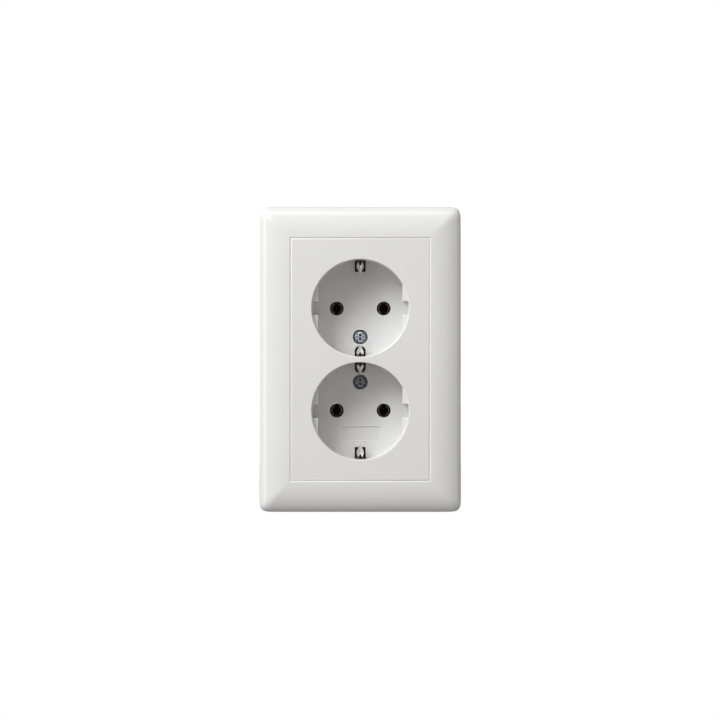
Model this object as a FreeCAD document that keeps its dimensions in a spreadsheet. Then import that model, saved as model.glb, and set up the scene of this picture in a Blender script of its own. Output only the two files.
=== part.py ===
import FreeCAD, Part
import math
import os

import Sketcher

# Double earthed wall socket for one round flush-mounting box: two round plug
# wells, one above the other, in a plate held inside a cushioned cover frame,
# on a socket insert with a steel support ring and spreading claws.
#
# Millimetres. +Z is up, the front looks along -Y, +X is to the right of a
# person facing it. The wall surface is the plane Y = 0. The origin is the
# centre of the two box screws, which is also the centre of the socket.
# "Level" below is the distance in front of the wall, so Y = -level, and a
# negative level is inside the flush box.

doc = FreeCAD.newDocument("double_socket")
sheet = doc.addObject("Spreadsheet::Sheet", "Sizes")

SIZES = [
    # cover frame
    ("front_level", 23.0, "plate face in front of the wall"),
    ("frame_width", 81.4, "frame at the wall"),
    ("frame_tall", 122.8, "frame at the wall"),
    ("frame_draft", 0.25, "how far each side leans in, wall to cushion"),
    ("cushion_drop", 5.0, "cushion height, seam to side"),
    ("frame_corner", 3.4, "outline corner radius"),
    ("frame_skin", 2.0, "moulded wall"),
    ("opening_width", 55.6, "frame opening"),
    ("opening_tall", 97.1, "frame opening"),
    ("collar_skin", 1.5, "wall round the opening"),
    ("ledge_level", 16.0, "step that the plate presses on"),
    ("ledge_deep", 1.5, "step thickness"),
    ("ledge_wide", 1.3, "step width"),
    ("rib_skin", 1.2, "frame ribs"),
    # centre plate
    ("plate_gap", 0.15, "gap each side of the plate"),
    ("plate_skin", 2.0, "plate thickness"),
    ("skirt_skin", 1.5, "skirt of the plate"),
    ("well_across", 39.0, "plug well diameter"),
    ("well_pitch", 41.3, "centre to centre of the wells"),
    ("well_deep", 17.5, "plug well depth"),
    ("well_skin", 1.5, "wall of the well"),
    ("floor_skin", 2.0, "well floor"),
    ("pin_pitch", 19.0, "plug pins centre to centre"),
    ("pin_hole", 5.6, "pin hole in the well floor"),
    ("flat_offset", 17.0, "side flats from the well centre"),
    ("flat_drop", 2.5, "side flats below the plate face"),
    ("notch_wide", 5.6, "notch between the side flats"),
    ("clip_slot", 4.4, "slot for an earth clip"),
    ("fixing_pitch", 18.2, "plate screws centre to centre"),
    ("fixing_recess", 6.0, "recess round a plate screw"),
    ("rim_round", 0.5, "rounding of the well rims"),
    ("panel_wide", 16.0, "shallow panel in the lower well"),
    ("panel_tall", 5.6, "shallow panel in the lower well"),
    ("panel_drop", 0.3, "shallow panel depth"),
    # support ring
    ("ring_skin", 1.0, "ring sheet"),
    ("ring_size", 71.0, "ring across flats"),
    ("ring_hole", 26.9, "ring opening radius"),
    ("tab_inner", 17.8, "inner edge of the side tabs"),
    ("box_pitch", 60.0, "box screws centre to centre"),
    ("box_slot", 3.6, "slot width"),
    ("box_slot_long", 5.6, "slot length"),
    # insert
    ("base_radius", 28.4, "insert body radius"),
    ("base_deep", 21.0, "insert body behind the ring"),
    ("plateau", 1.2, "insert front face in front of the wall"),
    ("cover_skin", 1.5, "rear cover"),
    ("bay_inner", 16.6, "flat of the claw bay"),
    ("bay_half", 7.5, "half height of the claw bay"),
    # contacts
    ("rail_level", 15.5, "rail behind the wall"),
    ("rail_skin", 1.2, "rail sheet"),
    ("rail_wide", 6.8, "rail width"),
    ("leaf_room", 3.7, "half of the room for a contact, across it"),
    ("leaf_waist", 1.95, "inner radius of the contact at its waist"),
    ("leaf_skin", 0.55, "contact sheet"),
    ("terminal_thread", 3.5, "terminal screw"),
    ("clip_wide", 2.9, "earth clip width"),
    ("strap_skin", 1.0, "earth strap sheet"),
    ("strap_wide", 9.0, "earth strap width"),
    # claws
    ("pivot_offset", 20.9, "claw pivot from the centre"),
    ("pivot_level", 2.4, "claw pivot behind the wall"),
    ("pivot_pin", 2.0, "claw pivot pin"),
    ("claw_fit", 0.05, "radial running clearance on the pin"),
    ("claw_screw_offset", 23.6, "claw screw from the centre"),
    ("claw_thread", 3.5, "claw screw"),
    ("nut_level", 15.9, "claw nut behind the wall"),
]
for row, (alias, value, words) in enumerate(SIZES, 1):
    sheet.set("A%d" % row, alias)
    sheet.set("B%d" % row, str(value))
    sheet.set("C%d" % row, words)
    sheet.setAlias("B%d" % row, alias)
doc.recompute()


class Dim:
    """A size with both its value and the expression that gives it."""

    def __init__(self, value, text):
        self.v = float(value)
        self.e = text

    @staticmethod
    def of(x):
        return x if isinstance(x, Dim) else Dim(x, "(%r)" % float(x))

    def __add__(self, o):
        o = Dim.of(o)
        return Dim(self.v + o.v, "(%s + %s)" % (self.e, o.e))

    __radd__ = __add__

    def __sub__(self, o):
        o = Dim.of(o)
        return Dim(self.v - o.v, "(%s - %s)" % (self.e, o.e))

    def __rsub__(self, o):
        return Dim.of(o) - self

    def __mul__(self, o):
        o = Dim.of(o)
        return Dim(self.v * o.v, "(%s * %s)" % (self.e, o.e))

    __rmul__ = __mul__

    def __truediv__(self, o):
        o = Dim.of(o)
        return Dim(self.v / o.v, "(%s / %s)" % (self.e, o.e))

    def __neg__(self):
        return Dim.of(0.0) - self


S = {a: Dim(v, "Sizes.%s" % a) for a, v, _ in SIZES}


def bind(obj, prop, size):
    size = Dim.of(size)
    if prop in obj.PropertiesList:
        setattr(obj, prop, size.v)
    obj.setExpression(prop, size.e)


def body(name):
    b = doc.addObject("PartDesign::Body", name)
    b.Label = name
    return b


def plane(b, role):
    return [f for f in b.Origin.OriginFeatures if f.Role == role][0]


def sketch(b, role="XZ_Plane", level=0.0):
    """A sketch on one of the body's own planes. On XZ_Plane the sketch looks
    out of the wall, so level is the distance in front of it."""
    sk = b.newObject("Sketcher::SketchObject", b.Name + "_sketch")
    sk.AttachmentSupport = (plane(b, role), [""])
    sk.MapMode = "FlatFace"
    level = Dim.of(level)
    sk.AttachmentOffset = FreeCAD.Placement(
        FreeCAD.Vector(0, 0, level.v), FreeCAD.Rotation()
    )
    sk.setExpression("AttachmentOffset.Base.z", level.e)
    return sk


def pin_point(sk, geo, pos, x, y):
    """Fix one point of a sketch element from the sketch's origin."""
    for kind, size in (("DistanceX", Dim.of(x)), ("DistanceY", Dim.of(y))):
        i = sk.addConstraint(Sketcher.Constraint(kind, -1, 1, geo, pos, size.v))
        sk.setExpression("Constraints[%d]" % i, size.e)


def poly(sk, points):
    pts = [(Dim.of(x), Dim.of(y)) for x, y in points]
    n = len(pts)
    first = sk.GeometryCount
    for i in range(n):
        a, b = pts[i], pts[(i + 1) % n]
        sk.addGeometry(
            Part.LineSegment(
                FreeCAD.Vector(a[0].v, a[1].v, 0), FreeCAD.Vector(b[0].v, b[1].v, 0)
            ),
            False,
        )
    for i in range(n):
        sk.addConstraint(
            Sketcher.Constraint(
                "Coincident", first + i, 2, first + (i + 1) % n, 1
            )
        )
    for i in range(n):
        pin_point(sk, first + i, 1, pts[i][0], pts[i][1])


def rect(sk, x0, y0, x1, y1):
    poly(sk, [(x0, y0), (x1, y0), (x1, y1), (x0, y1)])


def ring_of(sk, x, y, r):
    x, y, r = Dim.of(x), Dim.of(y), Dim.of(r)
    g = sk.addGeometry(
        Part.Circle(FreeCAD.Vector(x.v, y.v, 0), FreeCAD.Vector(0, 0, 1), r.v), False
    )
    i = sk.addConstraint(Sketcher.Constraint("Radius", g, r.v))
    sk.setExpression("Constraints[%d]" % i, r.e)
    pin_point(sk, g, 3, x, y)


def slot_of(sk, x, y, length, width):
    """A slot along the sketch's X, with round ends."""
    x, y, length, width = [Dim.of(q) for q in (x, y, length, width)]
    r = width / 2
    half = length / 2 - r
    up = FreeCAD.Vector(0, 0, 1)
    ends = []
    for sign, a0 in ((1, -math.pi / 2), (-1, math.pi / 2)):
        c = FreeCAD.Vector(x.v + sign * half.v, y.v, 0)
        g = sk.addGeometry(
            Part.ArcOfCircle(Part.Circle(c, up, r.v), a0, a0 + math.pi), False
        )
        ends.append(g)
    lines = []
    for sign in (1, -1):
        lines.append(
            sk.addGeometry(
                Part.LineSegment(
                    FreeCAD.Vector(x.v + sign * half.v, y.v + sign * r.v, 0),
                    FreeCAD.Vector(x.v - sign * half.v, y.v + sign * r.v, 0),
                ),
                False,
            )
        )
    C = Sketcher.Constraint
    for q in (
        C("Tangent", ends[0], 2, lines[0], 1),
        C("Tangent", lines[0], 2, ends[1], 1),
        C("Tangent", ends[1], 2, lines[1], 1),
        C("Tangent", lines[1], 2, ends[0], 1),
        C("Equal", ends[0], ends[1]),
    ):
        sk.addConstraint(q)
    i = sk.addConstraint(C("Radius", ends[0], r.v))
    sk.setExpression("Constraints[%d]" % i, r.e)
    pin_point(sk, ends[0], 3, x + half, y)
    pin_point(sk, ends[1], 3, x - half, y)


def rounded(sk, w, t, r):
    """A rectangle about the sketch's origin with round corners."""
    w, t, r = Dim.of(w) / 2, Dim.of(t) / 2, Dim.of(r)
    up = FreeCAD.Vector(0, 0, 1)
    arcs = []
    for k, (sx, sy) in enumerate(((1, 1), (-1, 1), (-1, -1), (1, -1))):
        c = FreeCAD.Vector(sx * (w.v - r.v), sy * (t.v - r.v), 0)
        a0 = k * math.pi / 2
        arcs.append(
            sk.addGeometry(
                Part.ArcOfCircle(Part.Circle(c, up, r.v), a0, a0 + math.pi / 2), False
            )
        )
    lines = []
    for k in range(4):
        a = sk.getPoint(arcs[k], 2)
        b = sk.getPoint(arcs[(k + 1) % 4], 1)
        lines.append(sk.addGeometry(Part.LineSegment(a, b), False))
    C = Sketcher.Constraint
    for k in range(4):
        sk.addConstraint(C("Tangent", arcs[k], 2, lines[k], 1))
        sk.addConstraint(C("Tangent", lines[k], 2, arcs[(k + 1) % 4], 1))
    for k in (1, 2, 3):
        sk.addConstraint(C("Equal", arcs[0], arcs[k]))
    i = sk.addConstraint(C("Radius", arcs[0], r.v))
    sk.setExpression("Constraints[%d]" % i, r.e)
    pin_point(sk, arcs[0], 3, w - r, t - r)
    pin_point(sk, arcs[2], 3, r - w, r - t)


def pad(b, sk, length, both=False, back=False):
    """Add material along the sketch's normal, both ways or backwards."""
    p = b.newObject("PartDesign::Pad", b.Name + "_pad")
    p.Profile = sk
    bind(p, "Length", length)
    if both:
        p.SideType = "Symmetric"
    p.Reversed = back
    b.Tip = p
    return p


def pocket(b, sk, depth, both=False, forward=False):
    """Cut against the sketch's normal, both ways or along it."""
    doc.recompute()
    before = b.Shape.Volume
    p = b.newObject("PartDesign::Pocket", b.Name + "_pocket")
    p.Profile = sk
    bind(p, "Length", depth)
    if both:
        p.SideType = "Symmetric"
    p.Reversed = forward
    b.Tip = p
    doc.recompute()
    if not b.Shape.Volume < before - 1e-4:
        raise RuntimeError("%s cuts nothing" % p.Name)
    return p


def edges_where(shape, test):
    return ["Edge%d" % (i + 1) for i, e in enumerate(shape.Edges) if test(e)]


def soften(b, base, names, size, kind="PartDesign::Fillet"):
    f = b.newObject(kind, b.Name + "_edge")
    f.Base = (base, names)
    bind(f, "Radius" if kind.endswith("Fillet") else "Size", size)
    b.Tip = f
    return f


def combine(kind, name, first, second):
    """A Part boolean of two objects."""
    o = doc.addObject(kind, name)
    o.Base = first
    o.Tool = second
    return o


def gather(name, parts):
    """One object that holds several solids."""
    o = doc.addObject("Part::MultiFuse", name)
    o.Shapes = parts
    o.Label = name
    return o


parts = []

# ---------------------------------------------------------------- cover frame
# Two extrusions with the same edge profile, one across and one upright, are
# intersected, so the cushion is mitred at the corners. The profile goes up the
# side with a little draft and then along a quarter of an ellipse to the seam.


def cushion(name, role, half, seam, inset, reach):
    """A symmetric slab whose section has the frame's edge profile, moved
    inwards by inset."""
    b = body(name)
    sk = sketch(b, role)
    half = half - inset
    lean = S["frame_draft"]
    top = S["front_level"] - inset
    low = S["front_level"] - S["cushion_drop"] - inset
    edge = half - lean
    flip = role == "YZ_Plane"

    def at(u, level):
        # the sketch on YZ_Plane has world Y along its first axis
        return (-level, u) if flip else (u, -level)

    def vec(u, level):
        p, q = at(u, level)
        return FreeCAD.Vector(p.v if isinstance(p, Dim) else p, q.v if isinstance(q, Dim) else q, 0)

    def arc(side):
        """Points of a quarter ellipse, from the side up to the seam."""
        span = edge - seam
        out = []
        for k in range(1, 12):
            t = math.pi / 2 * k / 12
            out.append((side * (seam + span * math.cos(t)), low + (top - low) * math.sin(t)))
        return out

    outline = (
        [(half, Dim.of(0.0)), (edge, low)]
        + arc(1)
        + [(Dim.of(1.0) * seam, top), (-seam, top)]
        + list(reversed(arc(-1)))
        + [(-edge, low), (-half, Dim.of(0.0))]
    )
    # the straight runs are lines and each ellipse quarter is one smooth curve
    pts = [vec(u, lv) for u, lv in outline]
    n = len(pts)
    k = 12  # index of the arc's last point before the seam
    curve_a = Part.BSplineCurve()
    curve_a.interpolate(pts[1 : k + 2])
    curve_b = Part.BSplineCurve()
    curve_b.interpolate(pts[k + 2 : n - 1])
    geo = [
        Part.LineSegment(pts[0], pts[1]),
        curve_a,
        Part.LineSegment(pts[k + 1], pts[k + 2]),
        curve_b,
        Part.LineSegment(pts[n - 2], pts[n - 1]),
        Part.LineSegment(pts[n - 1], pts[0]),
    ]
    for g in geo:
        sk.addGeometry(g, False)
    for i in range(len(geo)):
        sk.addConstraint(
            Sketcher.Constraint("Coincident", i, 2, (i + 1) % len(geo), 1)
        )
    pad(b, sk, reach * 2 + 4, both=True)
    return b


HALF_W = S["frame_width"] / 2
HALF_T = S["frame_tall"] / 2
SEAM_X = S["opening_width"] / 2
SEAM_Z = S["opening_tall"] / 2
SKIN = S["frame_skin"]

across = cushion("frame_across", "XY_Plane", HALF_W, SEAM_X, Dim.of(0.0), HALF_T)
upright = cushion("frame_upright", "YZ_Plane", HALF_T, SEAM_Z, Dim.of(0.0), HALF_W)
outline = body("frame_outline")
sk = sketch(outline, level=0.0)
rounded(sk, S["frame_width"], S["frame_tall"], S["frame_corner"])
pad(outline, sk, S["front_level"] + 2)
block = doc.addObject("Part::MultiCommon", "frame_block")
block.Shapes = [across, upright, outline]

in_across = cushion("frame_inner_across", "XY_Plane", HALF_W, SEAM_X, SKIN, HALF_T)
in_upright = cushion("frame_inner_upright", "YZ_Plane", HALF_T, SEAM_Z, SKIN, HALF_W)
in_outline = body("frame_inner_outline")
sk = sketch(in_outline, level=-1.0)
rounded(
    sk,
    S["frame_width"] - 2 * SKIN,
    S["frame_tall"] - 2 * SKIN,
    S["frame_corner"] - 1.4,
)
pad(in_outline, sk, S["front_level"] + 2)
hollow = doc.addObject("Part::MultiCommon", "frame_hollow")
hollow.Shapes = [in_across, in_upright, in_outline]
shell = combine("Part::Cut", "frame_shell", block, hollow)

# collar behind the seam, the ledge for the plate, and the ribs
collar = body("frame_collar")
sk = sketch(collar, level=S["ledge_level"] - S["ledge_deep"])
CW = SEAM_X + S["collar_skin"]
CT = SEAM_Z + S["collar_skin"]
rect(sk, -CW, -CT, CW, CT)
pad(collar, sk, S["front_level"] - S["ledge_level"] + S["ledge_deep"] - 0.6)
ribs = body("frame_ribs")
rib = S["rib_skin"] / 2
sk = sketch(ribs, level=8.0)
for z in (-42.0, -14.0, 14.0, 42.0):
    rect(sk, -HALF_W, z - rib, HALF_W, z + rib)
pad(ribs, sk, S["front_level"] - 8.0)
ribs2 = body("frame_ribs_upright")
sk = sketch(ribs2, level=8.0)
for x in (-14.0, 14.0):
    rect(sk, x - rib, -HALF_T, x + rib, HALF_T)
pad(ribs2, sk, S["front_level"] - 8.0)
allribs = doc.addObject("Part::MultiFuse", "frame_all_ribs")
allribs.Shapes = [ribs, ribs2]
ribs_in = doc.addObject("Part::MultiCommon", "frame_ribs_in")
ribs_in.Shapes = [allribs, hollow]
solid = doc.addObject("Part::MultiFuse", "frame_solid")
solid.Shapes = [shell, collar, ribs_in]
mouth = body("frame_mouth")
sk = sketch(mouth, level=S["ledge_level"])
rect(sk, -SEAM_X, -SEAM_Z, SEAM_X, SEAM_Z)
pad(mouth, sk, 10.0)
sk = sketch(mouth, level=-1.0)
LW = SEAM_X - S["ledge_wide"]
LT = SEAM_Z - S["ledge_wide"]
rect(sk, -LW, -LT, LW, LT)
pad(mouth, sk, S["ledge_level"] + 2)
cover_frame = combine("Part::Cut", "cover_frame_cut", solid, mouth)
cover_frame.Label = "cover_frame"
parts.append(cover_frame)
doc.recompute()

# --------------------------------------------------------------- centre plate
# Face, skirt, and the two plug wells in one moulding.
FACE = S["front_level"]
PW = SEAM_X - S["plate_gap"]
PT = SEAM_Z - S["plate_gap"]
WZ = S["well_pitch"] / 2
WR = S["well_across"] / 2
POT = WR + S["well_skin"]
FLOOR = FACE - S["well_deep"]
BACK = FLOOR - S["floor_skin"]
PX = S["pin_pitch"] / 2

plate = body("centre_plate")
sk = sketch(plate, level=FACE - S["plate_skin"])
rect(sk, -PW, -PT, PW, PT)
face = pad(plate, sk, S["plate_skin"])
sk = sketch(plate, level=S["ledge_level"])
rect(sk, -PW, -PT, PW, PT)
iw = PW - S["skirt_skin"]
it = PT - S["skirt_skin"]
rect(sk, -iw, -it, iw, it)
pad(plate, sk, FACE - S["plate_skin"] - S["ledge_level"])
for s in (1, -1):
    sk = sketch(plate, level=BACK)
    ring_of(sk, 0, s * WZ, POT)
    pad(plate, sk, FACE - S["plate_skin"] - BACK)
# stiffening webs between the skirt and the wells
sk = sketch(plate, level=S["ledge_level"] + 0.3)
for z in (-38.0, 0.0, 38.0):
    rect(sk, -iw - 0.5, z - 0.6, iw + 0.5, z + 0.6)
pad(plate, sk, FACE - S["ledge_level"] - 1.0)
# bosses of the plate screws, down to the earth strap
STRAP = S["plateau"] + S["strap_skin"]
FZ = S["fixing_pitch"] / 2
sk = sketch(plate, level=STRAP)
for s in (1, -1):
    ring_of(sk, 0, s * FZ, 4.2)
pad(plate, sk, BACK - STRAP + 0.5)
doc.recompute()
for s in (1, -1):
    sk = sketch(plate, level=FACE)
    ring_of(sk, 0, s * WZ, WR)
    pocket(plate, sk, S["well_deep"])
# side flats, each split by a notch at mid height
sk = sketch(plate, level=FLOOR - 0.5)
nw = S["notch_wide"] / 2
fx = S["flat_offset"]
for s in (1, -1):
    for side in (1, -1):
        for up in (1, -1):
            poly(
                sk,
                [
                    (side * fx, s * WZ + up * nw),
                    (side * (fx + 3.3), s * WZ + up * nw),
                    (side * (fx + 3.2), s * WZ + up * 4.5),
                    (side * (fx + 1.6), s * WZ + up * 9.0),
                    (side * fx, s * WZ + up * 9.9),
                ],
            )
pad(plate, sk, FACE - S["flat_drop"] - FLOOR + 0.5)
# pin holes, screw recesses and holes
sk = sketch(plate, level=FLOOR)
for s in (1, -1):
    for side in (1, -1):
        ring_of(sk, side * PX, s * WZ, S["pin_hole"] / 2)
pocket(plate, sk, S["floor_skin"] + 1)
sk = sketch(plate, level=FLOOR)
for s in (1, -1):
    ring_of(sk, 0, s * FZ, S["fixing_recess"] / 2)
pocket(plate, sk, 2.1)
sk = sketch(plate, level=FLOOR)
for s in (1, -1):
    ring_of(sk, 0, s * FZ, 1.7)
pocket(plate, sk, 6.0)
# slots of the earth clips: square-ended far from the middle of the socket,
# round-ended near it
cs = S["clip_slot"] / 2
sk = sketch(plate, level=FLOOR)
for s in (1, -1):
    rect(sk, -cs, s * (WZ + WR - 4.9), cs, s * (WZ + WR + 0.4))
pocket(plate, sk, S["floor_skin"] + 1)
for s in (1, -1):
    sk = sketch(plate, level=FLOOR)
    rect(sk, -cs, s * (WZ - WR - 0.4), cs, s * (WZ - WR + 2.2))
    pocket(plate, sk, S["floor_skin"] + 1)
    sk = sketch(plate, level=FLOOR)
    ring_of(sk, 0, s * (WZ - WR + 2.2), cs)
    pocket(plate, sk, S["floor_skin"] + 1)
# shallow bare panel in the lower well
sk = sketch(plate, level=FLOOR)
pw = S["panel_wide"] / 2
ph = S["panel_tall"] / 2
rect(sk, -pw, -WZ - 9.1 - ph, pw, -WZ - 9.1 + ph)
last = pocket(plate, sk, S["panel_drop"])
doc.recompute()
rims = edges_where(
    last.Shape,
    lambda e: isinstance(e.Curve, Part.Circle)
    and abs(e.Curve.Radius - WR.v) < 1e-3
    and abs(e.BoundBox.YMin + FACE.v) < 1e-3
    and abs(e.BoundBox.YMax + FACE.v) < 1e-3,
)
last = soften(plate, last, rims, S["rim_round"])
doc.recompute()
outer = edges_where(
    last.Shape,
    lambda e: isinstance(e.Curve, Part.Line)
    and abs(e.BoundBox.YMin + FACE.v) < 1e-3
    and abs(e.BoundBox.YMax + FACE.v) < 1e-3,
)
soften(plate, last, outer, 0.2)
parts.append(plate)


# --------------------------------------------------------------------- screws
def screw(name, x, z, seat, head_r, head_h, shank_r, length, rear=False, cross=True):
    """A pan head screw along Y. The head sits on the level seat, in front of
    it, or behind it if the screw is driven from the rear."""
    b = body(name)
    seat, head_h, length = Dim.of(seat), Dim.of(head_h), Dim.of(length)
    sk = sketch(b, level=seat - head_h if rear else seat)
    ring_of(sk, x, z, head_r)
    head = pad(b, sk, head_h)
    sk = sketch(b, level=seat if rear else seat - length)
    ring_of(sk, x, z, shank_r)
    pad(b, sk, length)
    doc.recompute()
    tip = b.Tip
    level = seat.v - head_h.v if rear else seat.v + head_h.v
    top = edges_where(
        tip.Shape,
        lambda e: isinstance(e.Curve, Part.Circle)
        and abs(e.Curve.Radius - Dim.of(head_r).v) < 1e-3
        and abs(e.BoundBox.YMin + level) < 1e-3
        and abs(e.BoundBox.YMax + level) < 1e-3,
    )
    soften(b, tip, top, head_h.v * 0.35)
    doc.recompute()
    # the drive: a cross, or one straight slot
    r = Dim.of(head_r) * 0.62
    sk = sketch(b, level=seat - head_h if rear else seat + head_h)
    w = Dim.of(head_r) * 0.15
    X, Z = Dim.of(x), Dim.of(z)
    if cross:
        poly(
            sk,
            [
                (X - r, Z - w), (X - w, Z - w), (X - w, Z - r), (X + w, Z - r),
                (X + w, Z - w), (X + r, Z - w), (X + r, Z + w), (X + w, Z + w),
                (X + w, Z + r), (X - w, Z + r), (X - w, Z + w), (X - r, Z + w),
            ],
        )
    else:
        rect(sk, X - Dim.of(head_r) * 1.1, Z - w, X + Dim.of(head_r) * 1.1, Z + w)
    pocket(b, sk, head_h * 0.55, forward=rear)
    return b


parts.append(screw("upper_plate_screw", 0, FZ, FLOOR - 2.1, 2.55, 1.9, 1.5, 8.4))
parts.append(screw("lower_plate_screw", 0, -FZ, FLOOR - 2.1, 2.55, 1.9, 1.5, 8.4))

# --------------------------------------------------------------- support ring
# Steel sheet on the wall, with clipped corners. The two side tabs carry the
# claw screws and the box screw slots, and have ears bent back for the claws.
RS = S["ring_size"] / 2
RT = S["ring_skin"]
ring = body("support_ring")
sk = sketch(ring)
c = RS - 11.0
poly(sk, [(RS, -c), (RS, c), (c, RS), (-c, RS), (-RS, c), (-RS, -c), (-c, -RS), (c, -RS)])
pad(ring, sk, RT)
doc.recompute()
sk = sketch(ring, level=RT)
ring_of(sk, 0, 0, S["ring_hole"])
pocket(ring, sk, RT)
sk = sketch(ring)
for s in (1, -1):
    rect(sk, s * S["tab_inner"], -12.2, s * 30.0, 12.2)
pad(ring, sk, RT)
doc.recompute()
for s in (1, -1):
    sk = sketch(ring, level=RT)
    slot_of(sk, s * S["box_pitch"] / 2, 0, S["box_slot_long"], S["box_slot"])
    pocket(ring, sk, RT)
sk = sketch(ring, level=RT)
for s in (1, -1):
    ring_of(sk, s * S["claw_screw_offset"], 0, S["claw_thread"] / 2 + 0.1)
    for t in (1, -1):
        ring_of(sk, s * 21.5, t * 9.6, 1.2)
        # small holes in the corners of the sheet
        ring_of(sk, s * 26.6, t * 26.6, 1.6)
pocket(ring, sk, RT)
sk = sketch(ring)
for s in (1, -1):
    for t in (1, -1):
        rect(sk, s * 19.0, t * 5.6, s * 22.8, t * 6.6)
pad(ring, sk, S["pivot_level"] + 2.2, back=True)
doc.recompute()
sk = sketch(ring, "XY_Plane")
for s in (1, -1):
    ring_of(sk, s * S["pivot_offset"], S["pivot_level"], S["pivot_pin"] / 2)
pocket(ring, sk, 16.0, both=True)
parts.append(ring)

ring_screws = gather(
    "ring_screws",
    [
        screw("ring_screw_%d" % i, s * 21.5, t * 9.6, RT, 2.2, 1.4, 1.2, 9.0)
        for i, (s, t) in enumerate(((1, 1), (-1, 1), (-1, -1), (1, -1)), 1)
    ],
)
parts.append(ring_screws)

# ---------------------------------------------------------------- insert base
BR = S["base_radius"]
BD = S["base_deep"]
RAIL = S["rail_level"]
base = body("insert_base")
sk = sketch(base, level=-BD)
ring_of(sk, 0, 0, BR)
pad(base, sk, BD)
sk = sketch(base)
ring_of(sk, 0, 0, S["ring_hole"] - 0.15)
pad(base, sk, S["plateau"])
doc.recompute()
sk = sketch(base, level=S["plateau"])
for s in (1, -1):
    rect(sk, s * (S["tab_inner"] - 0.2), -12.4, s * 30.0, 12.4)
pocket(base, sk, S["plateau"])
sk = sketch(base, level=S["plateau"])
for s in (1, -1):
    rect(sk, s * S["bay_inner"], -S["bay_half"], s * 30.0, S["bay_half"])
pocket(base, sk, BD + S["plateau"])
sk = sketch(base, level=S["plateau"])
for s in (1, -1):
    for t in (1, -1):
        ring_of(sk, s * PX, t * WZ, S["pin_hole"] / 2 + 0.1)
pocket(base, sk, 6.0)
sk = sketch(base, level=S["plateau"])
for t in (1, -1):
    ring_of(sk, 0, t * FZ, 2.0)
pocket(base, sk, 8.0)
rw = S["rail_wide"] / 2
sk = sketch(base, level=-BD)
for s in (1, -1):
    rect(sk, s * PX - rw - 0.5, -23.6, s * PX + rw + 0.5, 23.6)
rect(sk, -3.9, -9.6, 3.9, 1.0)
pocket(base, sk, BD - RAIL, forward=True)
sk = sketch(base, level=-BD)
lr = S["leaf_room"]
for s in (1, -1):
    for t in (1, -1):
        rect(sk, s * PX - 3.9, t * WZ - lr, s * PX + 3.9, t * WZ + lr)
pocket(base, sk, BD - 1.6, forward=True)
sk = sketch(base, level=-BD)
rect(sk, -2.7, -0.8, 2.7, 0.8)
pocket(base, sk, BD + S["plateau"], forward=True)
sk = sketch(base, level=-BD)
for s in (1, -1):
    ring_of(sk, s * PX, 0, 2.1)
    # blind cores that lighten the moulding
    rect(sk, -3.6, s * 12.5 - 0.0, 3.6, s * 18.0)
ring_of(sk, 0, -5.0, 2.1)
pocket(base, sk, BD - RAIL + 3.8, forward=True)
sk = sketch(base, level=-BD)
for t in (1, -1):
    ring_of(sk, 0, t * 21.5, 1.1)
pocket(base, sk, 8.0, forward=True)
sk = sketch(base)
for s in (1, -1):
    for t in (1, -1):
        ring_of(sk, s * 21.5, t * 9.6, 1.2)
pocket(base, sk, 9.5)
parts.append(base)

# ----------------------------------------------------------------- rear cover
rear = body("rear_cover")
sk = sketch(rear, level=-BD - S["cover_skin"])
ring_of(sk, 0, 0, BR - 0.5)
pad(rear, sk, S["cover_skin"])
sk = sketch(rear, level=-BD - 4.0)
for s in (1, -1):
    rect(sk, s * 4.0, -11.0, s * 5.1, 8.5)
pad(rear, sk, 4.0)
doc.recompute()
sk = sketch(rear, level=-BD)
for s in (1, -1):
    rect(sk, s * S["bay_inner"], -S["bay_half"], s * 30.0, S["bay_half"])
    rect(sk, s * 5.1, -6.5, s * 13.9, 6.5)
    ring_of(sk, 0, s * 21.5, 1.2)
rect(sk, -4.0, -9.6, 4.0, 1.0)
pocket(rear, sk, S["cover_skin"])
parts.append(rear)
parts.append(
    gather(
        "rear_cover_screws",
        [
            screw("rear_cover_screw_%d" % i, 0, t * 21.5, -BD - S["cover_skin"], 2.3, 1.5, 1.1, 8.5, rear=True)
            for i, t in enumerate((1, -1), 1)
        ],
    )
)

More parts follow.
